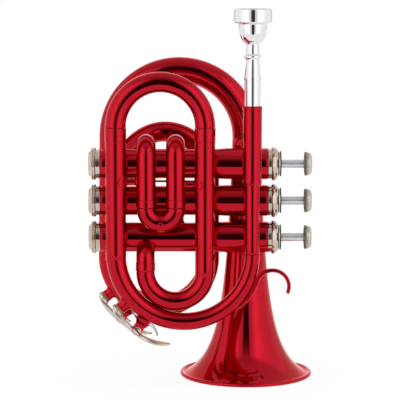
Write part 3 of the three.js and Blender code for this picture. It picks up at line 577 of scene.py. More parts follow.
for side, x in zip(("left", "right"), FIRST_X):
    leg_route = Route((x, FRONT_Y, FIRST_OPEN_Z), UP).straight(FIRST_BEND_Z - FIRST_OPEN_Z)
    outer_leg("first", side, leg_route.bend(-FRONT_Y / 2, 180, BACK), FIRST_RADIUS, FIRST_RISE)
first_span = (FIRST_X[1] - FIRST_X[0]) / 2
first_run = FIRST_ENGAGED + FIRST_BOW_STRAIGHT
first_route = Route((FIRST_X[0], FRONT_Y, FIRST_OPEN_Z - SLIDE_GAP + FIRST_ENGAGED), DOWN)
first_route.straight(first_run).bend(first_span, 180, RIGHT).straight(first_run)
slide_bow("first", first_route, FIRST_RADIUS, FIRST_ENGAGED)
knob_start = (sum(FIRST_X) / 2, FRONT_Y - FIRST_RADIUS + 1, FIRST_OPEN_Z - first_span - 1)
knob_route = Route(knob_start, FORWARD).straight(KNOB[-1][0])
turned("first_slide_knob", knob_route, KNOB, lacquer, body="first_valve_slide", sides=32, step=0.6)

# Second valve slide: a very short U that points straight back between the bell's tubes.
SECOND_X = (-49, -35.5)
SECOND_RADIUS = 5.6
SECOND_END = 28
SECOND_FOOT = 5
SECOND_ENGAGED = 14
for side, x in zip(("left", "right"), SECOND_X):
    leg_route = Route((x, SECOND_END, VALVE_Z[1]), FORWARD).straight(SECOND_END - SECOND_FOOT)
    outer_leg("second", side, leg_route, SECOND_RADIUS)
second_route = Route((SECOND_X[0], SECOND_END + SLIDE_GAP - SECOND_ENGAGED, VALVE_Z[1]), BACK)
second_route.straight(SECOND_ENGAGED + 3).bend((SECOND_X[1] - SECOND_X[0]) / 2, 180, RIGHT)
slide_bow("second", second_route.straight(SECOND_ENGAGED + 3), SECOND_RADIUS, SECOND_ENGAGED)

# Third valve slide: a longer U that runs up behind the valves, its outer legs bent into the third.
THIRD_X = (-17.5, 3.4)
THIRD_Y = 16.6
THIRD_RADIUS = 5.6
THIRD_ELBOW = 5.8
THIRD_END = 143
THIRD_ENGAGED = 25
for side, x in zip(("left", "right"), THIRD_X):
    leg_route = Route((x, THIRD_Y, THIRD_END), DOWN).straight(THIRD_END - VALVE_Z[2] - THIRD_ELBOW)
    outer_leg("third", side, leg_route.bend(THIRD_ELBOW, 90, FORWARD).straight(4), THIRD_RADIUS)
third_route = Route((THIRD_X[0], THIRD_Y, THIRD_END + SLIDE_GAP - THIRD_ENGAGED), UP)
third_route.straight(THIRD_ENGAGED + 3).bend((THIRD_X[1] - THIRD_X[0]) / 2, 180, RIGHT)
slide_bow("third", third_route.straight(THIRD_ENGAGED + 3), THIRD_RADIUS, THIRD_ENGAGED)

# Leadpipe: a slim tube from the mouthpiece's receiver down to the big bow under the instrument. The
# receiver is a thicker sleeve with a bead at its mouth and a ferrule at its foot.
LEAD_X = 36
LEAD_RADIUS = 5.2
LEAD_TOP = 143.5
BIG_BOW_RADIUS = 47
BIG_BOW_Z = 94.2
BIG_BOW_END = 6.9
RECEIVER_TOP = 196.5
RECEIVER_RADIUS = 6.6
RECEIVER_LAP = 0.6
lead_route = Route((LEAD_X, FRONT_Y, LEAD_TOP), DOWN).straight(LEAD_TOP - BIG_BOW_Z - SEAM)
lead_section = pipe([(0, LEAD_RADIUS), (lead_route.length(), LEAD_RADIUS)])
turned("leadpipe_tube", lead_route, lead_section, lacquer, "leadpipe")
receiver_route = Route((LEAD_X, FRONT_Y, LEAD_TOP - RECEIVER_LAP), UP)
receiver_length = receiver_route.straight(RECEIVER_TOP - LEAD_TOP + RECEIVER_LAP).length()
receiver_section = [
    (0, LEAD_RADIUS + 0.05),
    (0, LEAD_RADIUS + 0.7),
    (0.8, RECEIVER_RADIUS),
    (5.2, RECEIVER_RADIUS),
    (5.6, RECEIVER_RADIUS - 0.2),
    (receiver_length - 2.2, RECEIVER_RADIUS),
    (receiver_length - 1.8, RECEIVER_RADIUS + 0.2),
    (receiver_length - 0.8, RECEIVER_RADIUS + 0.2),
    (receiver_length, RECEIVER_RADIUS - 0.4),
    (receiver_length, 5.7),
    (receiver_length - 22, 4.7),
    (0.8, LEAD_RADIUS - TUBE_WALL),
    (0.7, LEAD_RADIUS + 0.05),
]
turned("receiver_sleeve", receiver_route, receiver_section, lacquer, "mouthpiece_receiver")

LEFT_X = LEAD_X - 2 * BIG_BOW_RADIUS
LEFT_RADIUS = 7.1
big_route = Route((LEAD_X, FRONT_Y, BIG_BOW_Z), DOWN).bend(BIG_BOW_RADIUS, 180, LEFT)
big_section = pipe([(0, LEAD_RADIUS), (big_route.length(), BIG_BOW_END)])
turned("leadpipe_big_bow", big_route, big_section, lacquer, "leadpipe_bow", sides=56)

# Finger hook: a strap that hugs the big bow, leaves it at a tangent and curls over.
HOOK_THICKNESS = 2.6
HOOK_WIDTH = 5.5
HOOK_FOOT, HOOK_LEAVE, HOOK_END = -45, -20, -25
HOOK_RADIUS = 11.2
CURL_STEPS = 48
ROUNDNESS = 0.5


def closed_mesh(name, points, faces, finish):
    """A smooth piece from points and faces, with its faces turned outwards."""
    mesh = bpy.data.meshes.new(name)
    mesh.from_pydata(points, [], faces)
    work = bmesh.new()
    work.from_mesh(mesh)
    bmesh.ops.recalc_face_normals(work, faces=work.faces)
    work.to_mesh(mesh)
    work.free()
    mesh.materials.append(finish.material)
    mesh.shade_smooth()
    return in_scene(name, mesh)


def strap(name, places, widths, thicknesses, across, finish, *nodes, body="root", corners=28):
    """A closed strap of rounded oblong rings through places, with a width and a thickness at each."""
    points = []
    for k, place in enumerate(places):
        along = (places[min(k + 1, len(places) - 1)] - places[max(k - 1, 0)]).normalized()
        out = along.cross(across).normalized()
        for corner in range(corners):
            angle = 2 * math.pi * (corner + 0.5) / corners
            wide, thick = [
                math.copysign(abs(part) ** ROUNDNESS, part) * size / 2
                for part, size in ((math.cos(angle), widths[k]), (math.sin(angle), thicknesses[k]))
            ]
            points.append(at(*(place + across * wide + out * thick)))
    faces = [tuple(range(corners)), tuple(range(len(points) - corners, len(points)))]
    for row in range(0, len(points) - corners, corners):
        for k in range(corners):
            after = (k + 1) % corners
            faces.append((row + k, row + after, row + corners + after, row + corners + k))
    settle(closed_mesh(name, points, faces, finish), finish, *nodes, body=body)


hook_hug = BIG_BOW_RADIUS + LEAD_RADIUS + 0.6 + HOOK_THICKNESS / 2
bow_x = LEAD_X - BIG_BOW_RADIUS
curl = on_circle(bow_x, FRONT_Y, BIG_BOW_Z, hook_hug + HOOK_RADIUS, HOOK_LEAVE)
hook_places = [
    on_circle(bow_x, FRONT_Y, BIG_BOW_Z, hook_hug, degrees) for degrees in range(HOOK_FOOT, HOOK_LEAVE, 2)
]
for k in range(CURL_STEPS + 1):
    degrees = HOOK_LEAVE + 180 + (HOOK_END - HOOK_LEAVE - 180) * k / CURL_STEPS
    hook_places.append(on_circle(curl.x, FRONT_Y, curl.z, HOOK_RADIUS, degrees))
hook_widths, hook_thicknesses = [], []
for k in range(len(hook_places)):
    foot = min(1, (k + 1) / 5)
    tip = min(1, (len(hook_places) - k) / 3)
    hook_widths.append(HOOK_WIDTH * min(0.55 + 0.45 * foot, 0.75 + 0.25 * tip))
    hook_thicknesses.append(HOOK_THICKNESS * min(0.3 + 0.7 * foot, 0.8 + 0.2 * tip))
hook = (hook_places, hook_widths, hook_thicknesses)
strap("little_finger_hook", *hook, BACK, lacquer, "finger_hook", corners=20)

# Main tuning slide: two outer tubes with long ferrules at the top, and the bow with its inner legs.
# A thin bar behind the first slide holds the outer tubes apart, and two posts on almond-shaped feet
# tie them to the first slide's legs. All of it is lacquered brass.
RIGHT_X = 3.5
RIGHT_RADIUS = 6.9
RIGHT_BOTTOM = 82
MAIN_TOP = 181.6
MAIN_FERRULE = 10
MAIN_RISE = 0.25
MAIN_ENGAGED = 56
MAIN_GAP = 0.1
MAIN_BEAD = 2.1
SEAM_DROP = 3.4
SMALL_RADIUS = 20.6
for side, x, radius, bottom, bow_radius, toward in (
    ("left", LEFT_X, LEFT_RADIUS, BIG_BOW_Z, BIG_BOW_RADIUS, RIGHT),
    ("right", RIGHT_X, RIGHT_RADIUS, RIGHT_BOTTOM, SMALL_RADIUS, LEFT),
):
    outer_route = Route((x, FRONT_Y, MAIN_TOP), DOWN).straight(MAIN_TOP - bottom)
    outer_route.bend(bow_radius, math.degrees(SEAM_DROP / bow_radius), toward)
    length = outer_route.length()
    proud = radius + MAIN_RISE
    outer_section = [
        (0, radius - TUBE_WALL),
        (0, proud - 0.05),
        (0.3, proud + 0.08),
        (1.5, proud + 0.08),
        (1.8, proud),
        (MAIN_FERRULE - 0.3, proud),
        (MAIN_FERRULE, radius),
        (length, radius),
        (length, radius - 0.15),
        (length - SEAM_DROP, radius - 0.15),
        (length - SEAM_DROP - 0.1, radius - TUBE_WALL),
    ]
    node = f"tuning_slide_outer_{side}"
    turned(f"tuning_tube_{side}", outer_route, outer_section, lacquer, node, sides=56, step=4)
main_span = (RIGHT_X - LEFT_X) / 2
main_route = Route((LEFT_X, FRONT_Y, MAIN_TOP + MAIN_GAP - MAIN_ENGAGED), UP).straight(MAIN_ENGAGED + 0.5)
main_length = main_route.bend(main_span, 180, RIGHT).straight(MAIN_ENGAGED + 0.5).length()
left_half, right_half = [
    half_bow(radius, MAIN_ENGAGED + MAIN_GAP, MAIN_GAP, MAIN_BEAD) for radius in (LEFT_RADIUS, RIGHT_RADIUS)
]
main_outline = left_half + mirrored(right_half, main_length)[len(right_half):]
turned(
    "tuning_slide_bow",
    main_route,
    pipe(main_outline, SLIDE_WALL),
    lacquer,
    "main_tuning_slide",
    body="main_tuning_slide",
    sides=64,
)

BAR_Z = 144.2
BAR_MIDDLE_Y, BAR_END_Y = -11.6, -15.5
BAR_RADIUS = 0.75
BAR_STEPS = 40
bar_half = main_span - 4
bar_middle = (LEFT_X + RIGHT_X) / 2
bar_shares = [2 * k / BAR_STEPS - 1 for k in range(BAR_STEPS + 1)]
bar_points = [
    (bar_middle + bar_half * share, BAR_MIDDLE_Y + (BAR_END_Y - BAR_MIDDLE_Y) * share**4, BAR_Z)
    for share in bar_shares
]
bar_route = Route(bar_points[0], RIGHT).through(bar_points[1:])
bar_section = mirrored([(0, 0), (0, BAR_RADIUS + 0.8), (3, BAR_RADIUS)], bar_route.length())
turned("tuning_tube_bar", bar_route, bar_section, lacquer, "tuning_slide_brace", sides=24)

POST_RADIUS = 2.4
POST_Y = FRONT_Y + 0.8
FOOT_RISE = 0.6
FOOT_HALF_HEIGHT = 5.5
FOOT_HALF_TURN = math.radians(80)
FOOT_TURNS = 64


def almond_foot(name, x, radius, toward, z):
    """A thin plate with an almond outline, wrapped round an upright tube."""
    rings = [(0.4, FOOT_RISE), (0.7, FOOT_RISE), (0.86, FOOT_RISE), (0.92, FOOT_RISE - 0.1), (1, -0.1)]
    rings += [(0.97, -0.4), (0.75, -0.4), (0.4, -0.4)]

    def place(angle, height, out):
        return at(x + toward * out * math.cos(angle), FRONT_Y + out * math.sin(angle), z + height)

    points = [place(0, 0, radius + FOOT_RISE), place(0, 0, radius - 0.4)]
    for share, rise in rings:
        for k in range(FOOT_TURNS):
            angle = 2 * math.pi * k / FOOT_TURNS
            half_turn = FOOT_HALF_TURN * share * math.cos(angle)
            points.append(place(half_turn, FOOT_HALF_HEIGHT * share * math.sin(angle), radius + rise))
    last = len(points) - FOOT_TURNS
    round_it = [(k, (k + 1) % FOOT_TURNS) for k in range(FOOT_TURNS)]
    faces = [(0, 2 + k, 2 + after) for k, after in round_it]
    faces += [(1, last + after, last + k) for k, after in round_it]
    for row in range(2, last, FOOT_TURNS):
        below = row + FOOT_TURNS
        faces += [(row + k, below + k, below + after, row + after) for k, after in round_it]
    settle(closed_mesh(name, points, faces, lacquer), lacquer)


for side, leg_x, leg_radius, first_x, toward, z in (
    ("left", LEFT_X, LEFT_RADIUS, FIRST_X[0], 1, 144.4),
    ("right", RIGHT_X, RIGHT_RADIUS, FIRST_X[1], -1, 142.5),
):
    start = leg_x + toward * (leg_radius - 1)
    reach = abs(first_x - toward * (FIRST_RADIUS - 1) - start)
    post_route = Route((start, POST_Y, z), RIGHT * toward).straight(reach)
    half = [(0, 0), (0, POST_RADIUS + 0.9), (1.3, POST_RADIUS + 0.6), (2, POST_RADIUS)]
    turned(f"slide_post_{side}", post_route, mirrored(half, reach), lacquer, sides=32)
    almond_foot(f"slide_post_foot_{side}", leg_x, leg_radius, toward, z)

# Small bow: it carries the air from the right outer tube round and up into the third valve.
SMALL_END = 6.4
INLET_Z = 83
INLET_LENGTH = 5.5
PORT_Z = 95.8
PORT_ELBOW = 6.5
PORT_SUNK = 4.5
small_route = Route((RIGHT_X, FRONT_Y, RIGHT_BOTTOM), DOWN).bend(SMALL_RADIUS, 180, LEFT)
small_bend = small_route.length()
small_route.straight(PORT_Z - PORT_ELBOW - RIGHT_BOTTOM).bend(PORT_ELBOW, 90, BACK).straight(PORT_SUNK)
inlet = small_bend + INLET_Z - RIGHT_BOTTOM
small_outline = [
    (0, RIGHT_RADIUS - 0.2),
    (small_bend, SMALL_END),
    (inlet, SMALL_END),
    (inlet + 0.3, SMALL_END + 0.4),
    (inlet + 1.3, SMALL_END + 0.4),
    (inlet + 1.6, SMALL_END + 0.3),
    (inlet + INLET_LENGTH - 0.3, SMALL_END + 0.3),
    (inlet + INLET_LENGTH, SMALL_END),
    (small_route.length(), SMALL_END),
]
turned("inlet_bow", small_route, pipe(small_outline), lacquer, "third_valve_inlet_bow", sides=56)

# Braces: short rods with a flared foot at each end, soldered between the leadpipe's side, the valves
# and the bell. The two long ones swell in the middle.
BRACE_RADIUS = 2.2
BRACE_FOOT = 4.4
LONG_BRACE = 14
for name, x, z, start, end in (
    ("bell_brace_upper", LEAD_X, 176, FRONT_Y + RECEIVER_RADIUS - 1.2, BELL_Y - bell_radius(BELL_TOP) + 1),
    ("bell_brace_lower", LEAD_X, 88, FRONT_Y + LEAD_RADIUS - 1.2, BELL_Y - bell_radius(88) + 1),
    ("valve_brace", BELL_X, VALVE_Z[1], CASING_UPPER - 1, BELL_Y - bell_radius(VALVE_Z[1]) + 1),
):
    reach = end - start
    half = [(0, 0), (0, BRACE_FOOT), (1.2, BRACE_FOOT), (2.4, BRACE_FOOT - 1.2)]
    half += [(4, BRACE_RADIUS), (4.6, BRACE_RADIUS)]
    if reach > LONG_BRACE:
        half += [(reach / 2 - 1.2, BRACE_RADIUS), (reach / 2 - 0.6, BRACE_RADIUS + 0.7)]
    brace_route = Route((x, start, z), BACK).straight(reach)
    turned(name + "_rod", brace_route, mirrored(half, reach), lacquer, name, sides=32)

# Valve caps and buttons: turned brass under nickel plate, dulled and a little yellow with handling.
# A groove runs round the rim of each bottom cap, and each button is dished underneath.
NICKEL_PALE = (0.8, 0.74, 0.65)
NICKEL_WARM = (0.58, 0.5, 0.4)
nickel = Finish("worn_nickel_plate", "nickel_plate", NICKEL_PALE, 1.0, 0.14)
patches = nickel.noise(90, 4)
nickel.vary("Base Color", NICKEL_WARM, NICKEL_PALE, patches * 2 - 0.5)
nickel.vary("Roughness", 0.1, 0.2, patches)
nickel.bump(nickel.noise(900, 3), 0.05, 0.0001)

silver = Finish("silver_plate", "silver_plate", (0.93, 0.94, 0.94), 1.0, 0.09)
tarnish = silver.noise(60, 3)
silver.vary("Base Color", (0.88, 0.88, 0.87), (0.97, 0.97, 0.98), tarnish)
silver.vary("Roughness", 0.02, 0.05, tarnish)

brushed = Finish("brushed_stem", "silver_plate", (0.8, 0.82, 0.85), 1.0, 0.36)
draw_marks = brushed.noise(700, 3)
brushed.vary("Base Color", (0.7, 0.72, 0.75), (0.9, 0.92, 0.95), draw_marks)
brushed.vary("Roughness", 0.3, 0.42, draw_marks)

# Painted shade on the buttons: their undersides and edges, towards the caps, are coloured dull and brown, and
# the colour clears towards the tops in blotches
BUTTON_PAINTED_SHADE_X, BUTTON_UNSHADED_X = 73.6, 76
shaded_button = Finish("button_nickel_with_painted_shade", "nickel_plate", NICKEL_PALE, 1.0, 0.3)
from_bell = shaded_button.wire.node("SeparateXYZ", {"Vector": shaded_button.wire.node("TexCoord")["Object"]})["X"]
painted_shade_x, unshaded_x = at(BUTTON_PAINTED_SHADE_X, 0, 0).x, at(BUTTON_UNSHADED_X, 0, 0).x
spots = shaded_button.noise(420, 5)
# Painted shade: 0 on the undersides towards the caps, 1 towards the tops, broken up by blotches
out_of_painted_shade = (from_bell - painted_shade_x) / (unshaded_x - painted_shade_x) + (spots - 0.5) * 1.4
unshaded_share = out_of_painted_shade.math("MINIMUM", 1).math("MAXIMUM", 0)
shaded_button.vary("Base Color", (0.27, 0.24, 0.19), (0.67, 0.63, 0.55), unshaded_share)
shaded_button.vary("Roughness", 0.5, 0.22, unshaded_share)
shaded_button.bump(spots, 0.25)

felt = Finish("black_felt", "cork", (0.012, 0.012, 0.014), 0.0, 0.95)
fibres = felt.noise(2600, 4)
felt.vary("Base Color", (0.006, 0.006, 0.008), (0.03, 0.03, 0.034), fibres)
felt.bump(fibres, 0.6)

CAP_BORE = THREAD_RADIUS + 0.1
STEM_RADIUS = 2.95
STEM_HOLE = 3.2
BOTTOM_CAP = [
    (-77.3, 0), (-77.3, 2.2), (-77.7, 2.7), (-77.7, 8.3), (-76.1, 9.3), (-75.9, 10.8), (-75.2, 11.45),
    (-74.7, 11.45), (-74.5, 10.95), (-74.2, 10.95), (-74, 11.45), (-73.1, 11.45), (-72.7, 10.25),
    (-69.6, 10.25), (-69.6, CAP_BORE), (-75.4, CAP_BORE), (-75.4, 0),
]
TOP_CAP = [
    (47.5, CAP_BORE), (47.5, 10.65), (50, 10.65), (50.1, 11.2), (50.5, 11.7), (51.3, 11.95), (52.3, 11.7),
    (53.4, 10.9), (54.4, 9.7), (55, 8.6), (55.9, 8.4), (55.9, STEM_HOLE), (52.5, STEM_HOLE), (52.5, CAP_BORE),
]
FELT_RING = [(55.95, STEM_HOLE), (55.95, 8.7), (56.15, 8.9), (56.4, 8.9), (56.6, 8.7), (56.6, STEM_HOLE)]
STEM = [(40.6, 0), (40.6, 1.9), (42.8, 1.9), (42.8, STEM_RADIUS), (73.5, STEM_RADIUS), (73.5, 0)]
BUTTON = [
    (74.6, 0), (74.6, 2.6), (73.2, 3.3), (73, 4.3), (73.9, 5.4), (74.1, 6.3), (73.3, 7.2), (72.9, 7.9),
    (73.3, 8.3), (74.2, 8.35), (75.2, 8.1), (76.4, 7.9), (77.4, 7.1), (78, 5.9), (78, 3.6), (77.7, 1.8),
    (77.6, 0),
]
for number, z in enumerate(VALVE_Z, 1):
    for name, outline, finish, node, body, sides, edge in (
        ("lower_cap", BOTTOM_CAP, nickel, "bottom_cap", "root", 96, 0.15),
        ("upper_cap", TOP_CAP, nickel, "top_cap", "root", 96, 0.15),
        ("felt_ring", FELT_RING, felt, None, "root", 64, 0.15),
        ("stem", STEM, brushed, "valve_stem", f"valve_{number}", 40, 0.15),
        ("button", BUTTON, shaded_button, "finger_button", f"valve_{number}", 72, 0.3),
    ):
        nodes = [f"{node}_{number}"] if node else []
        turned_on_valve(f"{name}_{number}", z, outline, finish, *nodes, body=body, sides=sides, edge=edge)

# Inside each valve: the hard, dull piston, the nylon guide that keeps it from turning and the open
# coil spring between them. They show only through the ports and when a cap is off.
piston_metal = Finish("piston_metal", None, (0.55, 0.55, 0.54), 1.0, 0.3)
piston_metal.vary("Roughness", 0.22, 0.38, piston_metal.noise(1500, 2))
nylon = Finish("guide_nylon", None, (0.82, 0.79, 0.7), 0.0, 0.5)
nylon.vary("Roughness", 0.42, 0.6, nylon.noise(400, 2))
spring_steel = Finish("spring_steel", "spring_steel", (0.5, 0.51, 0.52), 1.0, 0.28)
spring_steel.vary("Roughness", 0.2, 0.36, spring_steel.noise(700, 2))
SPRING_LEFT, SPRING_RIGHT = 9.2, 39.1
SPRING_RADIUS = 5.7
SPRING_WIRE = 0.6
SPRING_TURNS = 5
TURN_STEPS = 24


def bent_wire(name, points, radius, node, sides, step):
    """A steel wire through points, cut off square at both ends."""
    route = Route(points[0], UP).through(points[1:])
    section = mirrored([(0, 0), (0, radius)], route.length())
    return turned(name, route, section, spring_steel, node, sides=sides, step=step)


for number, z in enumerate(VALVE_Z, 1):
    for node, finish in ((f"piston_{number}", piston_metal), (f"valve_guide_{number}", nylon)):
        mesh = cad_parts[node].data
        mesh.materials.clear()
        mesh.materials.append(finish.material)
    steps = TURN_STEPS * SPRING_TURNS
    coil = []
    for k in range(steps + 1):
        angle = 2 * math.pi * k / TURN_STEPS
        coil_x = SPRING_LEFT + (SPRING_RIGHT - SPRING_LEFT) * k / steps
        coil.append((coil_x, SPRING_RADIUS * math.cos(angle), z + SPRING_RADIUS * math.sin(angle)))
    spring = bent_wire(f"coil_spring_{number}", coil, SPRING_WIRE, f"valve_spring_{number}", 12, 0.8)
    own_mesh(spring)

# Water keys: on the lowest part of each bow a short nipple, closed by a cork in a nickel cup. The
# lever turns on a slotted screw in a red saddle, and a double coil spring presses it shut.
KEY_DRAIN = 2.2
KEY_PIVOT = Vector((18.9, 0, 5.7))
ACROSS = Vector((0, 1, 0))
KEY_CUP = [(0.9, 0), (0.9, 4.2), (0, 4.2), (0, 4.9), (0.3, 5.05), (1.5, 5.05), (2, 4.5), (2.3, 3.4), (2.4, 0)]
KEY_NIPPLE = [
    (0, KEY_DRAIN), (0, 4.7), (3.6, 4.7), (3.9, 4), (5.8, 4), (6.1, 4.35), (6.8, 4.25), (6.8, KEY_DRAIN),
]
KEY_CORK = [(0, 0), (0, 3.9), (0.3, 4.15), (2.4, 4.15), (2.4, 0)]
KEY_HUB = [(0, 1.3), (0, 2), (7.6, 2), (7.6, 1.3)]
KEY_PEG = [(0, 0), (0, 0.8), (5.4, 0.8), (5.4, 0)]
BACK_HEAD = [(0, 0), (0, 1.8), (0.4, 2.1), (1.1, 2.1), (1.2, 1)]
FRONT_HEAD = [(12.8, 1), (12.8, 2.5), (13.1, 2.75), (14, 2.75), (14.4, 2.3), (14.5, 0)]
SCREW_BEHIND = 6.9
SLOT_AT, SLOT_HALF = 7.5, Vector((4, 1, 0.45))
SLOT_FACES = [(0, 1, 3, 2), (4, 6, 7, 5), (0, 4, 5, 1), (2, 3, 7, 6), (0, 2, 6, 4), (1, 5, 7, 3)]
LEVER_START, LEVER_LENGTH, LEVER_STEPS = -3, 44.4, 70
LEVER_HEIGHTS = [
    (-3, 9.4), (3, 9.7), (8, 9.6), (14, 9), (18.9, 8.2), (25, 7), (32, 3.8), (37.5, -0.3), (41.4, -4.8),
]
LEVER_THICKNESSES = [(-3, 1.2), (0, 2.4), (8, 3.5), (18.9, 3.4), (25, 2.9), (32, 2.8), (38, 2.3), (41.4, 1.2)]
LEVER_WIDTHS = [
    (-3, 2), (0, 4.2), (10, 4.4), (14.5, 3.2), (23.5, 3.2), (30, 7.6), (36, 8.4), (40, 6), (41.4, 2.6),
]
EAR_START, EAR_LENGTH, EAR_STEPS = -11, 14.5, 40
EAR_WIDTHS = [
    (-11, 4.4), (-10.4, 8), (-8, 10), (-6, 9.4), (-4, 7.2), (-2.5, 6.4), (0, 7), (2.5, 4.8), (3.5, 1),
]
EAR_Y, EAR_THICKNESS, EAR_LEAN = 5.15, 1.1, 1.1
COIL_RADIUS, COIL_WIRE = 2.6, 0.35
COIL_INNER_Y, COIL_OUTER_Y = 1.7, 4
COIL_START, COIL_END = -100, 570
COIL_LEG = ((6.9, 0.4), (8.2, 0.7), (10.5, 0.9), (13.2, 1.2), (15.6, 1.9), (17.4, 2.8))
COIL_LOOP = ((18.2, 1.9), (19.8, -0.6), (21.6, -2.8), (23.5, -3.7), (25.6, -3.7), (28.5, -3.1), (31.5, -2.4))
# Painted shade for the hinge screws' slots: a near-black colour that the slot's walls take from the cutter
slot_painted_shade = Finish("painted_shade_in_the_slot", None, (0.03, 0.026, 0.022), 0.2, 0.7)
slot_painted_shade.vary("Base Color", (0.015, 0.012, 0.01), (0.05, 0.044, 0.038), slot_painted_shade.noise(900, 3))
cork = Finish("cork", "cork", (0.5, 0.31, 0.16), 0.0, 0.85)
grain = cork.noise(1400, 5)
cork.vary("Base Color", (0.3, 0.16, 0.07), (0.62, 0.42, 0.24), grain)
cork.bump(grain, 0.4)


def key_frame(centre_x, y, centre_z, surface_radius, degrees):
    """A key's own frame: X along the tube, Z out of it and Y towards the front."""
    angle = math.radians(degrees)
    out = Vector((-math.cos(angle), 0, -math.sin(angle)))
    along = Vector((math.sin(angle), 0, -math.cos(angle)))
    matrix = Matrix((along, out.cross(along), out)).transposed().to_4x4()
    matrix.translation = Vector((centre_x, y, centre_z)) + out * surface_radius
    return matrix


def through_stops(stops, along):
    """The value at a distance of a smooth curve through (distance, value) stops."""
    last = len(stops) - 1
    k = next((k for k in range(1, last) if along < stops[k][0]), last)

    def slope(j):
        before, after = stops[max(j - 1, 0)], stops[min(j + 1, last)]
        return (after[1] - before[1]) / (after[0] - before[0])

    (x0, low), (x1, high) = stops[k - 1], stops[k]
    span = x1 - x0
    share = min(max((along - x0) / span, 0), 1)
    rest = 1 - share
    bend = share * rest * span * (rest * slope(k - 1) - share * slope(k))
    return low * rest**2 * (1 + 2 * share) + high * share**2 * (3 - 2 * share) + bend


for side, centre_x, y, centre_z, bow, tube, degrees, loop_end in (
    ("front", bow_x, FRONT_Y, BIG_BOW_Z, BIG_BOW_RADIUS, 5.96, 40.5, 30.8),
    ("back", -29, BELL_Y, 86, 35.5, 7.42, 36.8, 29),
):
    own = key_frame(centre_x, y, centre_z, bow + tube, degrees)
    turning = own.to_3x3()
    key = f"water_key_{side}"

    def turned_on_key(name, start, way, section, finish, *nodes, **shape):
        """A piece turned about a line of the key's frame, from (distance, radius) points."""
        route = Route(own @ Vector(start), (turning @ way).normalized())
        route.straight(max(along for along, out in section))
        turned(f"{name}_{side}", route, section, finish, *nodes, step=1, edge=0.12, **shape)

    def cut_slot(screw):
        """Cuts the slot across the screw's front head and paints shade in it: the slot's walls take the
        cutter's near-black colour.
        """
        middle = KEY_PIVOT + ACROSS * SLOT_AT
        signs = [Vector((x, y, z)) for x in (-1, 1) for y in (-1, 1) for z in (-1, 1)]
        corners = [at(*(own @ (middle + SLOT_HALF * sign))) for sign in signs]
        cutter = closed_mesh("slot_cutter", corners, SLOT_FACES, slot_painted_shade)
        cutter.data.shade_flat()
        cut = screw.modifiers.new("slot", "BOOLEAN")
        cut.operation = "DIFFERENCE"
        cut.material_mode = "TRANSFER"
        cut.object = cutter
        made_plain(screw, cut).set_sharp_from_angle(angle=math.radians(40))
        bpy.data.objects.remove(cutter)

    turned_on_key("drain_nipple", (0, 0, -2), UP, KEY_NIPPLE, lacquer, f"water_key_nipple_{side}")
    turned_on_key("drain_cork", (0, 0, 5.05), UP, KEY_CORK, cork, f"water_key_cork_{side}", body=key)
    turned_on_key("drain_cup", (0, 0, 6.55), UP, KEY_CUP, nickel, body=key)
    stations = [LEVER_START + LEVER_LENGTH * k / LEVER_STEPS for k in range(LEVER_STEPS + 1)]
    strap(
        f"drain_lever_{side}",
        [own @ Vector((along, 0, through_stops(LEVER_HEIGHTS, along))) for along in stations],
        [through_stops(LEVER_WIDTHS, along) for along in stations],
        [through_stops(LEVER_THICKNESSES, along) for along in stations],
        turning @ ACROSS,
        nickel,
        f"water_key_lever_{side}",
        body=key,
    )
    hub_start = KEY_PIVOT - ACROSS * KEY_HUB[-1][0] / 2
    turned_on_key("drain_hub", hub_start, ACROSS, KEY_HUB, nickel, body=key, sides=32)
    peg_way = Vector((0.96, 0, -0.28))
    turned_on_key("drain_stop", (20, 2.6, 3.9), peg_way, KEY_PEG, nickel, body=key, sides=20)

    # The hinge screw: a plain head at the back and a slotted one at the front
    screw_start = KEY_PIVOT - ACROSS * SCREW_BEHIND
    heads = BACK_HEAD + FRONT_HEAD
    screw_node = f"water_key_screw_{side}"
    turned_on_key("hinge_screw", screw_start, ACROSS, heads, nickel, screw_node, sides=40, change=cut_slot)

    # The saddle's two ears stand on the tube beside the hinge and lean in to it at the foot
    ray = (KEY_PIVOT + Vector((0, 0, bow + tube))).normalized()
    ear_levels = [EAR_START + EAR_LENGTH * k / EAR_STEPS for k in range(EAR_STEPS + 1)]
    for ear, facing in (("front", 1), ("back", -1)):
        ear_places = []
        for level in ear_levels:
            lean = min(1, max(0, (-5 - level) / 5))
            ear_y = facing * (EAR_Y - EAR_LEAN * lean * lean * (3 - 2 * lean))
            ear_places.append(own @ (KEY_PIVOT + ray * level + Vector((0, ear_y, 0))))
        strap(
            f"saddle_ear_{side}_{ear}",
            ear_places,
            [max(0.5, through_stops(EAR_WIDTHS, level)) for level in ear_levels],
            [EAR_THICKNESS] * len(ear_levels),
            turning @ Vector((ray.z, 0, -ray.x)),
            lacquer,
        )

    # The double coil: each end rests on the tube, and the loop between the coils reaches out
    one_side = [Vector((x, COIL_INNER_Y, z)) for x, z in COIL_LEG]
    steps = math.ceil((COIL_END - COIL_START) / 360 * TURN_STEPS)
    for k in range(steps + 1):
        coil_y = COIL_INNER_Y + (COIL_OUTER_Y - COIL_INNER_Y) * k / steps
        degrees = COIL_START + (COIL_END - COIL_START) * k / steps
        one_side.append(on_circle(KEY_PIVOT.x, coil_y, KEY_PIVOT.z, COIL_RADIUS, degrees))
    one_side += [Vector((min(x, loop_end - 0.6), COIL_OUTER_Y, z)) for x, z in COIL_LOOP]
    one_side.append(Vector((loop_end, COIL_OUTER_Y - 0.8, COIL_LOOP[-1][1])))
    whole = one_side + [Vector((p.x, -p.y, p.z)) for p in reversed(one_side)]
    whole = [own @ point for point in whole]
    bent_wire(f"double_coil_{side}", whole, COIL_WIRE, f"water_key_spring_{side}", 10, 0.4)

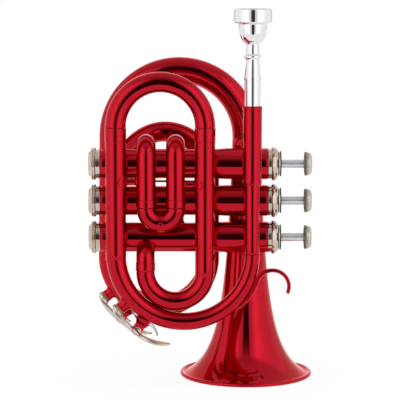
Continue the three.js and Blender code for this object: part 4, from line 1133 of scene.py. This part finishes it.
# Mouthpiece: one turned piece of silver-plated brass, with a rounded rim, a heavy bowl, a ringed
# neck and a long tapered shank that wedges in the receiver.
MOUTH_TOP = 263.2
MOUTH_BOTTOM = 177
MOUTH = [
    (4, MOUTH_BOTTOM), (4.65, MOUTH_BOTTOM), (5.45, 199), (5.6, 213.4), (5.8, 214.4), (5.8, 216),
    (5.4, 217.6), (4.5, 227.8), (4.7, 228.8), (5.95, 229.4), (5.95, 230.6), (4.7, 232.2), (4.55, 238.6),
    (5.0, 239.3), (6.0, 240), (7.0, 241), (7.8, 242), (8.8, 243.5), (9.5, 246), (9.9, 249), (10, 252),
    (10.4, 252.7), (12.7, 252.9), (13.3, 253.6), (13.45, 256.5), (13.4, 260.9), (13.2, 261.9),
    (12.5, 262.8), (11.4, 263.15), (10.6, MOUTH_TOP), (9.3, 262.7), (8.4, 261.4), (8.0, 259.6),
    (7.4, 256.2), (4.6, 252.3), (1.85, 248.7), (1.85, 241.2),
]
mouth_route = Route((LEAD_X, FRONT_Y, MOUTH_BOTTOM), UP).straight(MOUTH_TOP - MOUTH_BOTTOM)
mouth = [(z - MOUTH_BOTTOM, out) for out, z in MOUTH]
shape = {"body": "mouthpiece", "sides": 96, "step": 1, "edge": 0.9}
turned("silver_mouthpiece", mouth_route, mouth, silver, "mouthpiece", **shape)

# Floor, light and camera: a pale table whose front edge ends before the camera, and a white room
# with a large softbox on each side. The dark gap between them draws the tubes' dark lines.
TABLE_REACH = 3.0
TABLE_FRONT = 0.45
TABLE_DROP = 0.0005
TABLE_GLOW = 0.9
TABLE_GLOW_IN_POLISH = 0.74
TABLE_SHADE = 0.15
corners = ((-TABLE_REACH, -TABLE_FRONT), (TABLE_REACH, -TABLE_FRONT), (TABLE_REACH, TABLE_REACH))
corners += ((-TABLE_REACH, TABLE_REACH),)
floor_mesh = bpy.data.meshes.new("pale_table")
floor_mesh.from_pydata([(x, y, -TABLE_DROP) for x, y in corners], [], [(0, 1, 2, 3)])
in_scene("pale_table", floor_mesh)
table = Finish("pale_table", None, (0.8, 0.8, 0.8), 0.0, 0.9)
wire = table.wire
path = wire.node("LightPath")
in_polish = path["Is Glossy Ray"].math("MAXIMUM", path["Is Transmission Ray"])
seen = in_polish.math("MAXIMUM", path["Is Camera Ray"])
glow = wire.node("Emission", {"Strength": in_polish * (TABLE_GLOW_IN_POLISH - TABLE_GLOW) + TABLE_GLOW})
shade = wire.node("BsdfDiffuse", {"Color": (TABLE_SHADE, TABLE_SHADE, TABLE_SHADE, 1)})
lit = wire.node("AddShader", {0: glow, 1: shade})
shown = wire.node("MixShader", {"Fac": seen, 1: Wire(wire.tree, table.shader.outputs[0]), 2: lit})
output = next(n for n in wire.tree.nodes if n.type == "OUTPUT_MATERIAL")
wire.tree.links.new(shown.socket, output.inputs["Surface"])
floor_mesh.materials.append(table.material)

# The room: brightness by the angle away from the camera's side, in degrees, up to the ceiling
ROOM = [
    (0, 0.03), (9.5, 0.03), (13.5, 0.72), (22, 0.76), (30, 1.1), (37, 1.3), (45, 1.3), (64, 1.0), (90, 0.85),
    (118, 0.87), (132, 0.68), (150, 0.68), (160, 1.0), (180, 1.0),
]
ROOM_BRIGHTEST = 1.3
# Above the gap, brightness by the angle up from the level
FRONT = [(22, 0.03), (29, 0.15), (34, 0.23), (39, 0.33), (45, 0.42), (52, 0.46), (61, 0.52), (90, 0.6)]
CEILING = (40, 52)
CEILING_LIGHT = 0.62
FACING = (15, 60)
world = bpy.data.worlds.new("studio")
world.use_nodes = True
bpy.context.scene.world = world
background = next(n for n in world.node_tree.nodes if n.type == "BACKGROUND")
wire = Wire(world.node_tree)
apart = wire.node("SeparateXYZ", {"Vector": wire.node("TexCoord")["Generated"]})
aside = apart["X"].math("ABSOLUTE").math("ARCTAN2", apart["Y"] * -1) / math.pi
steep = apart["Z"].math("ARCSINE") * (180 / math.pi)
room_stops = [(angle / 180, light / ROOM_BRIGHTEST) for angle, light in ROOM]
walls = wire.node("ValToRGB", {"Fac": aside}, stops=room_stops) * ROOM_BRIGHTEST
front_stops = [(angle / 90, light) for angle, light in FRONT]
front = wire.node("ValToRGB", {"Fac": steep / 90}, stops=front_stops)
walls = walls.math("MAXIMUM", front)


def smooth(value, low, high):
    """Rises smoothly from 0 at low to 1 at high."""
    values = {"Value": value, "From Min": low, "From Max": high}
    return value.node("MapRange", values, interpolation_type="SMOOTHSTEP")


facing = 1 - smooth(aside, FACING[0] / 180, FACING[1] / 180)
over = facing * (front - CEILING_LIGHT) + CEILING_LIGHT
room = walls + (over - walls) * smooth(steep, *CEILING)
camera_sees = wire.node("LightPath")["Is Camera Ray"]
background.inputs["Color"].default_value = (1, 1, 1, 1)
wire.tree.links.new((room + (1 - room) * camera_sees).socket, background.inputs["Strength"])

CAMERA_DISTANCE = 1160
CAMERA_PITCH = 6
CAMERA_FOCAL_PIXELS = 1657
AIM_Z = 129.9
SENSOR = 36
FRAME_PIXELS = 400
camera_data = bpy.data.cameras.new("camera")
camera_data.sensor_width = SENSOR
camera_data.lens = CAMERA_FOCAL_PIXELS * SENSOR / FRAME_PIXELS
camera_data.clip_end = 50
camera = in_scene("camera", camera_data)
pitch = math.radians(CAMERA_PITCH)
behind = Vector((0, -math.cos(pitch), math.sin(pitch)))
camera.location = at(0, 0, AIM_Z) + behind * CAMERA_DISTANCE * MM
camera.rotation_mode = "QUATERNION"
camera.rotation_quaternion = (-behind).to_track_quat("-Z", "Y")
bpy.context.scene.camera = camera
bpy.context.scene.view_settings.view_transform = "Standard"
